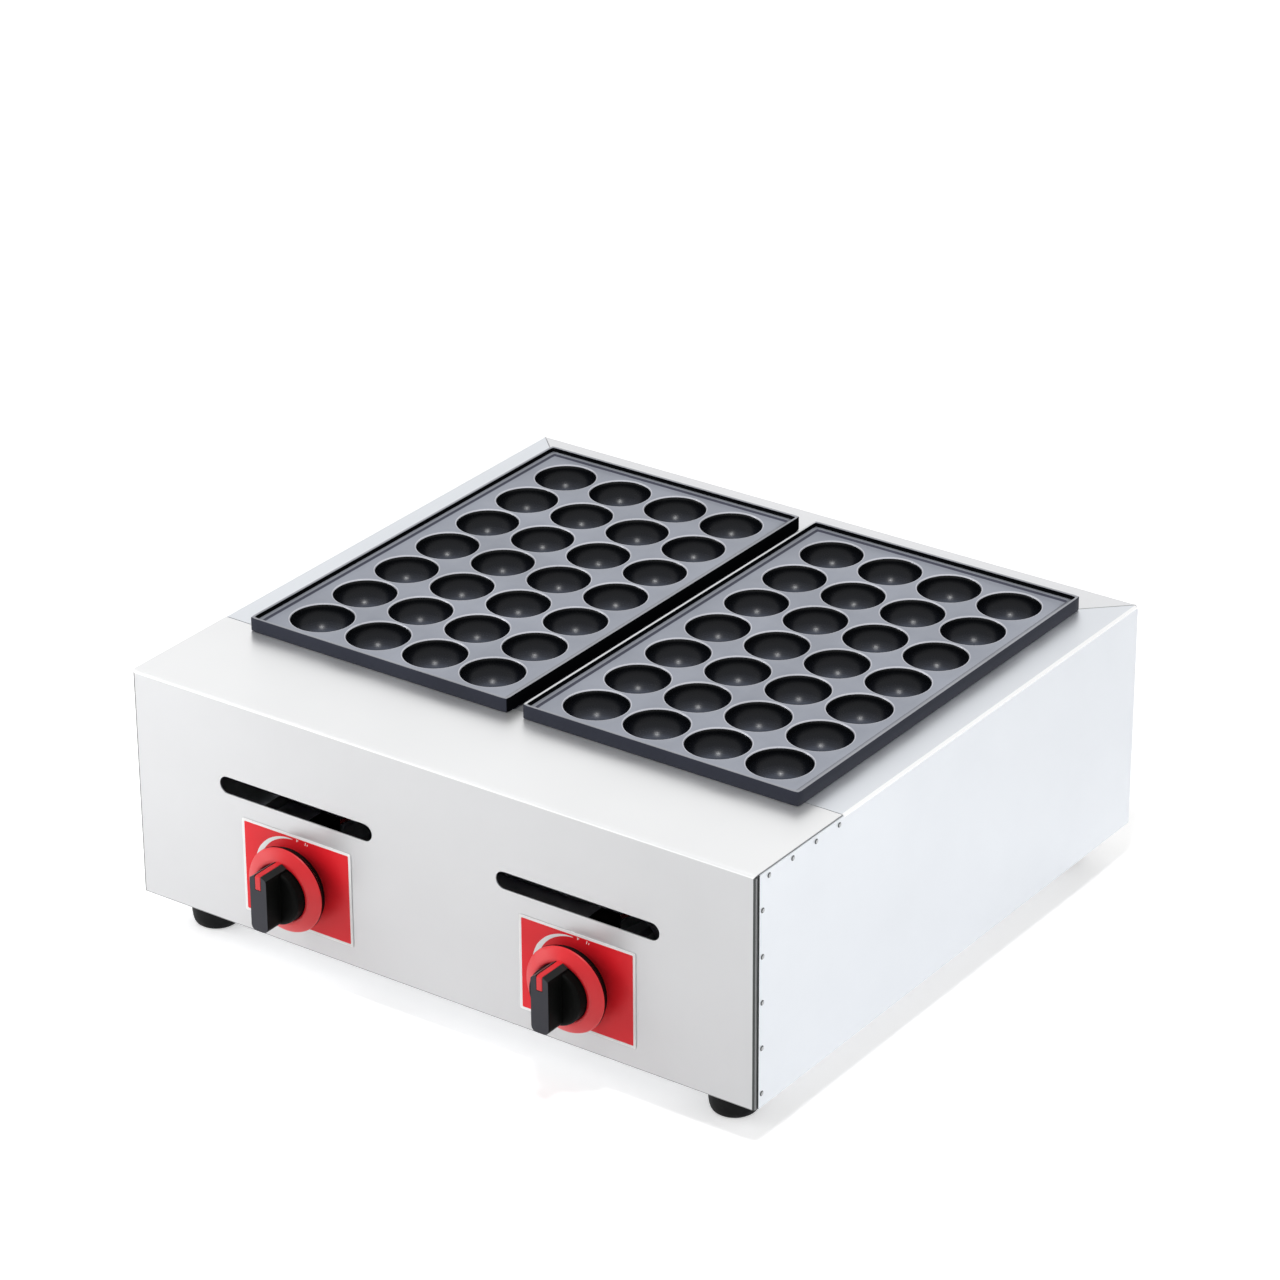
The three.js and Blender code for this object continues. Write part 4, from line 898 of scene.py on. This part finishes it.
def knob_grip(word, centre):
    """Grip bar, cut out for the pointer and for the hub that it stands on, with painted light on its
    front and top faces.
    """
    x, back, z = centre
    half = [(3.4, -20.5), (5.6, -19.9), (7.0, -18.2), (7.5, -16.2), (7.5, 21.4), (7.1, 22.4),
            (3.2, 25.0)]
    outline = [(x + a, z + b) for a, b in half] + [(x - a, z + b) for a, b in half[::-1]]
    bm = bmesh.new()
    prism(bm, outline, "y", back - 38, back - 14)
    grip = finish_mesh(f"knob_grip_{word}", bm, [BLACK, GRIP_FACE_LIT, GRIP_TOP_LIT], 30)
    face_skin, top_skin = 1, 2
    minus(grip, [
        lambda m: box(m, (x - 2.7, back - 45, z + 22.6), (x + 2.7, back - 2, z + 40)),
        lambda m: box(m, (x - 2.7, back - 45, z + 13.2), (x + 2.7, back - 36.1, z + 40)),
        lambda m: lathe(m, [(0, -20.5), (23.0, -20.5), (23.0, 5), (0, 5)], "y", centre, 64),
    ])
    edge_rounded(grip, 0.42, 3, 32)
    for polygon in grip.data.polygons:
        if polygon.normal.y < -0.6:
            polygon.material_index = face_skin
        elif polygon.normal.z > 0.5:
            polygon.material_index = top_skin
    hold(grip, f"knob_{word}")


def knob_ring(word, centre):
    """Red ring behind the grip, with painted shade on its outer wall."""
    front = -5.3
    bm = bmesh.new()
    profile = [(22.3, front), (32.9, front), (33.5, front - 0.6), (33.5, front - 2.2),
               (33.1, front - 3.1), (32.3, front - 3.7), (26.2, front - 7.3), (24.6, front - 7.9),
               (23.2, front - 8.0), (22.5, front - 7.6), (22.3, front - 6.8)]
    lathe(bm, profile, "y", centre, 96, closed=True)
    ring = finish_mesh(f"red_ring_{word}", bm, [RED, RED_SHADE], 42)
    wall_skin = 1
    for polygon in ring.data.polygons:
        reach = math.hypot(polygon.center.x - centre[0] * MM, polygon.center.z - centre[2] * MM)
        if reach > 32.6 * MM and abs(polygon.normal.y) < 0.3:
            polygon.material_index = wall_skin
    hold(ring, f"knob_{word}", f"knob_ring_{word}")


def knob_pointer(word, centre):
    """Red line along the grip's top and over its front."""
    x, back, z = centre
    side = [(-38.2, 13.6), (-36.3, 13.6), (-36.3, 22.9), (-11.8, 22.9), (-11.8, 25.0),
            (-36.4, 25.0), (-37.6, 24.6), (-38.2, 23.4)]
    bm = bmesh.new()
    prism(bm, [(back + a, z + b) for a, b in side], "x", x - 2.4, x + 2.4)
    pointer = finish_mesh(f"red_pointer_{word}", bm, [RED], 30)
    edge_rounded(pointer, 0.45, 3, 32)
    hold(pointer, f"knob_{word}")


def knob(word, x):
    for part in (knob_hub, knob_grip, knob_ring, knob_pointer):
        part(word, (x, KNOB_BACK, KNOB_Z))


# ---------------------------------------------------------------- feet and gas inlet
def feet():
    """Four hollow rubber feet."""
    profile = [(6.5, 0.6), (7.0, 0.0), (13.8, 0.0), (15.2, 0.3), (16.4, 1.2), (17.4, 2.9),
               (18.1, 5.6), (18.6, 9.5), (18.9, 15.0), (19.1, 22.0), (19.1, 26.4), (18.7, 27.5),
               (17.9, FOOT_TOP), (3.4, FOOT_TOP), (3.4, 12.0), (6.5, 12.0)]
    for word, hand in HANDS:
        for end, side in (("front", -1), ("rear", 1)):
            bm = bmesh.new()
            lathe(bm, profile, "z", (hand * FOOT_X, side * FOOT_Y + SHIFT, 0), 64, closed=True)
            foot = finish_mesh(f"rubber_foot_{end}_{word}", bm, [RUBBER], 42)
            hold(foot, "cabinet", f"foot_{end}_{word}")


def inlet():
    """Hose nipple with its barbs, and the nut that holds it in the rear panel."""
    bm = bmesh.new()
    start = REAR + 10.6
    tip = REAR + 42
    barbs = 3
    pitch = (tip - start) / barbs
    profile = [(8.3, REAR - 23.3), (11.0, REAR - 23.3), (11.0, REAR - 1.3), (7.0, REAR - 1.3),
               (7.0, start - 0.6), (6.4, start)]
    for i in range(barbs):
        at = start + i * pitch
        profile += [(5.0, at + 0.05), (5.2, at + 0.4), (4.4, at + pitch * 0.86), (4.3, at + pitch)]
    profile += [(3.4, tip), (3.0, tip - 0.4), (3.0, REAR - 9.0), (8.3, REAR - 9.0)]
    lathe(bm, profile, "y", (ELBOW_X, 0, PIPE_Z), 64, closed=True)
    hold(finish_mesh("hose_nipple", bm, [BRASS], 35), "cabinet", "gas_inlet")

    bm = bmesh.new()
    half_width = 11
    corner = half_width / math.cos(math.pi / 6)
    prism(bm, arc(ELBOW_X, PIPE_Z, corner, 0, 300, 5), "y", REAR + 0.3, REAR + 5.3)
    nut = finish_mesh("lock_nut", bm, [BRASS])
    minus(nut, [lambda m: hole_cutter(m, ELBOW_X, PIPE_Z, PIPE_HOLE, REAR - 5, REAR + 9)])
    edge_rounded(nut, 0.5, 2, 35)
    hold(nut, "cabinet", "inlet_nut")


front_panel()
side_panels()
rear_panel()
rivets()
for word, hand in HANDS:
    grill_plate(word, hand)
    dial(word, hand * PLATE_X)
    knob(word, hand * PLATE_X)
feet()
inlet()


# ---------------------------------------------------------------- studio
def seen_directly(tree):
    """1 for camera, glossy and transmission rays, 0 for the rest."""
    path = add(tree, "ShaderNodeLightPath")
    total = path.outputs["Is Camera Ray"]
    for kind in ("Is Glossy Ray", "Is Transmission Ray"):
        most = add(tree, "ShaderNodeMath", operation="MAXIMUM")
        tree.links.new(total, most.inputs[0])
        tree.links.new(path.outputs[kind], most.inputs[1])
        total = most.outputs[0]
    return total


def white_ground():
    """Plain pale floor that goes over to the white world and keeps the object's shadow."""
    reach_mm, thickness = 6000, 20
    bm = bmesh.new()
    prism(bm, arc(0, 0, reach_mm, 0, 354, 59), "z", -thickness, 0)
    mat, tree, bsdf = node_material("studio_floor")
    bsdf.inputs["Base Color"].default_value = (0.9, 0.9, 0.9, 1)
    bsdf.inputs["Roughness"].default_value = 0.9
    bsdf.inputs["Specular IOR Level"].default_value = 0.0
    bsdf.inputs["Emission Color"].default_value = (1, 1, 1, 1)
    reach = add(tree, "ShaderNodeVectorMath", operation="LENGTH")
    tree.links.new(coords(tree), reach.inputs[0])
    glow = add(tree, "ShaderNodeMath", operation="MULTIPLY")
    tree.links.new(seen_directly(tree), glow.inputs[0])
    near_glow, far_glow = 0.465, 0.7
    strength = ranged(tree, reach.outputs["Value"], near_glow, far_glow, 0.9, 2.2)
    tree.links.new(strength, glow.inputs[1])
    tree.links.new(glow.outputs[0], bsdf.inputs["Emission Strength"])
    finish_mesh("studio_floor", bm, [mat])


def lamp(name, energy, place, target, size, mirrored=True, height=None):
    """Soft lamp in watts and metres: a disc, or a rectangle where it has a height."""
    data = bpy.data.lights.new(name, "AREA")
    data.energy = energy
    data.shape = "RECTANGLE" if height else "DISK"
    data.size = size
    if height:
        data.size_y = height
    obj = bpy.data.objects.new(name, data)
    obj.location = place
    direction = Vector(target) - Vector(place)
    obj.rotation_euler = direction.to_track_quat("-Z", "Y").to_euler()
    obj.visible_glossy = mirrored
    bpy.context.scene.collection.objects.link(obj)


def soft_sun(name, energy, spread, direction):
    """Sun with soft shadows that is not mirrored. The spread is in degrees."""
    data = bpy.data.lights.new(name, "SUN")
    data.energy = energy
    data.angle = math.radians(spread)
    obj = bpy.data.objects.new(name, data)
    obj.rotation_euler = Vector(direction).to_track_quat("-Z", "Y").to_euler()
    obj.visible_glossy = False
    bpy.context.scene.collection.objects.link(obj)


def white_world(light):
    """World that is white where it is seen, and lights the object more softly."""
    world = bpy.data.worlds.new("studio")
    bpy.context.scene.world = world
    world.use_nodes = True
    tree = world.node_tree
    backdrop = tree.nodes["Background"]
    backdrop.inputs["Color"].default_value = (1, 1, 1, 1)
    tree.links.new(ranged(tree, seen_directly(tree), light, 1.0), backdrop.inputs["Strength"])


white_ground()
white_world(0.35)
lamp("softbox", 30.0, (0.548, -0.772, 3.05), (0, 0, 0.2), 0.5)
lamp("front_left_box", 4.9, (-0.85, -0.75, 0.65), (-0.1, -0.25, 0.1), 0.6, False)
lamp("left_window", 8.0, (-2.1, -1.5, 0.28), (0, -0.2, 0.25), 1.4, height=0.5)
lamp("right_box", 2.8, (1.6, -0.1, 0.9), (0.2, 0, 0.1), 1.2, False)
soft_sun("rear_left_light", 0.7, 35, (0.55, -0.62, -0.55))


# ---------------------------------------------------------------- camera
def photo_camera():
    """Camera fitted to the photo. Degrees, millimetres, and the focal length in pixels."""
    azimuth, elevation, roll = (math.radians(angle) for angle in (35.395, 26.212, -0.341))
    distance, aside, above = 3694.815, -1.859, 162.272
    focal, picture_width, sensor_width = 4899.895, 1280, 36
    level_reach = math.cos(elevation)
    back = Vector((math.sin(azimuth) * level_reach, -math.cos(azimuth) * level_reach,
                   math.sin(elevation)))
    level = Vector((math.cos(azimuth), math.sin(azimuth), 0))
    upright = back.cross(level)
    right = level * math.cos(roll) + upright * math.sin(roll)
    up = upright * math.cos(roll) - level * math.sin(roll)
    eye = (back * distance + right * aside + up * above + Vector((0, SHIFT, BOTTOM))) * MM
    data = bpy.data.cameras.new("camera")
    data.sensor_fit = "HORIZONTAL"
    data.sensor_width = sensor_width
    data.lens = focal / picture_width * sensor_width
    data.clip_start = 0.05
    data.clip_end = 60
    camera = bpy.data.objects.new("camera", data)
    camera.matrix_world = Matrix((
        (right.x, up.x, back.x, eye.x),
        (right.y, up.y, back.y, eye.y),
        (right.z, up.z, back.z, eye.z),
        (0, 0, 0, 1),
    ))
    bpy.context.scene.collection.objects.link(camera)
    bpy.context.scene.camera = camera


photo_camera()
bpy.context.scene.view_settings.view_transform = "Standard"
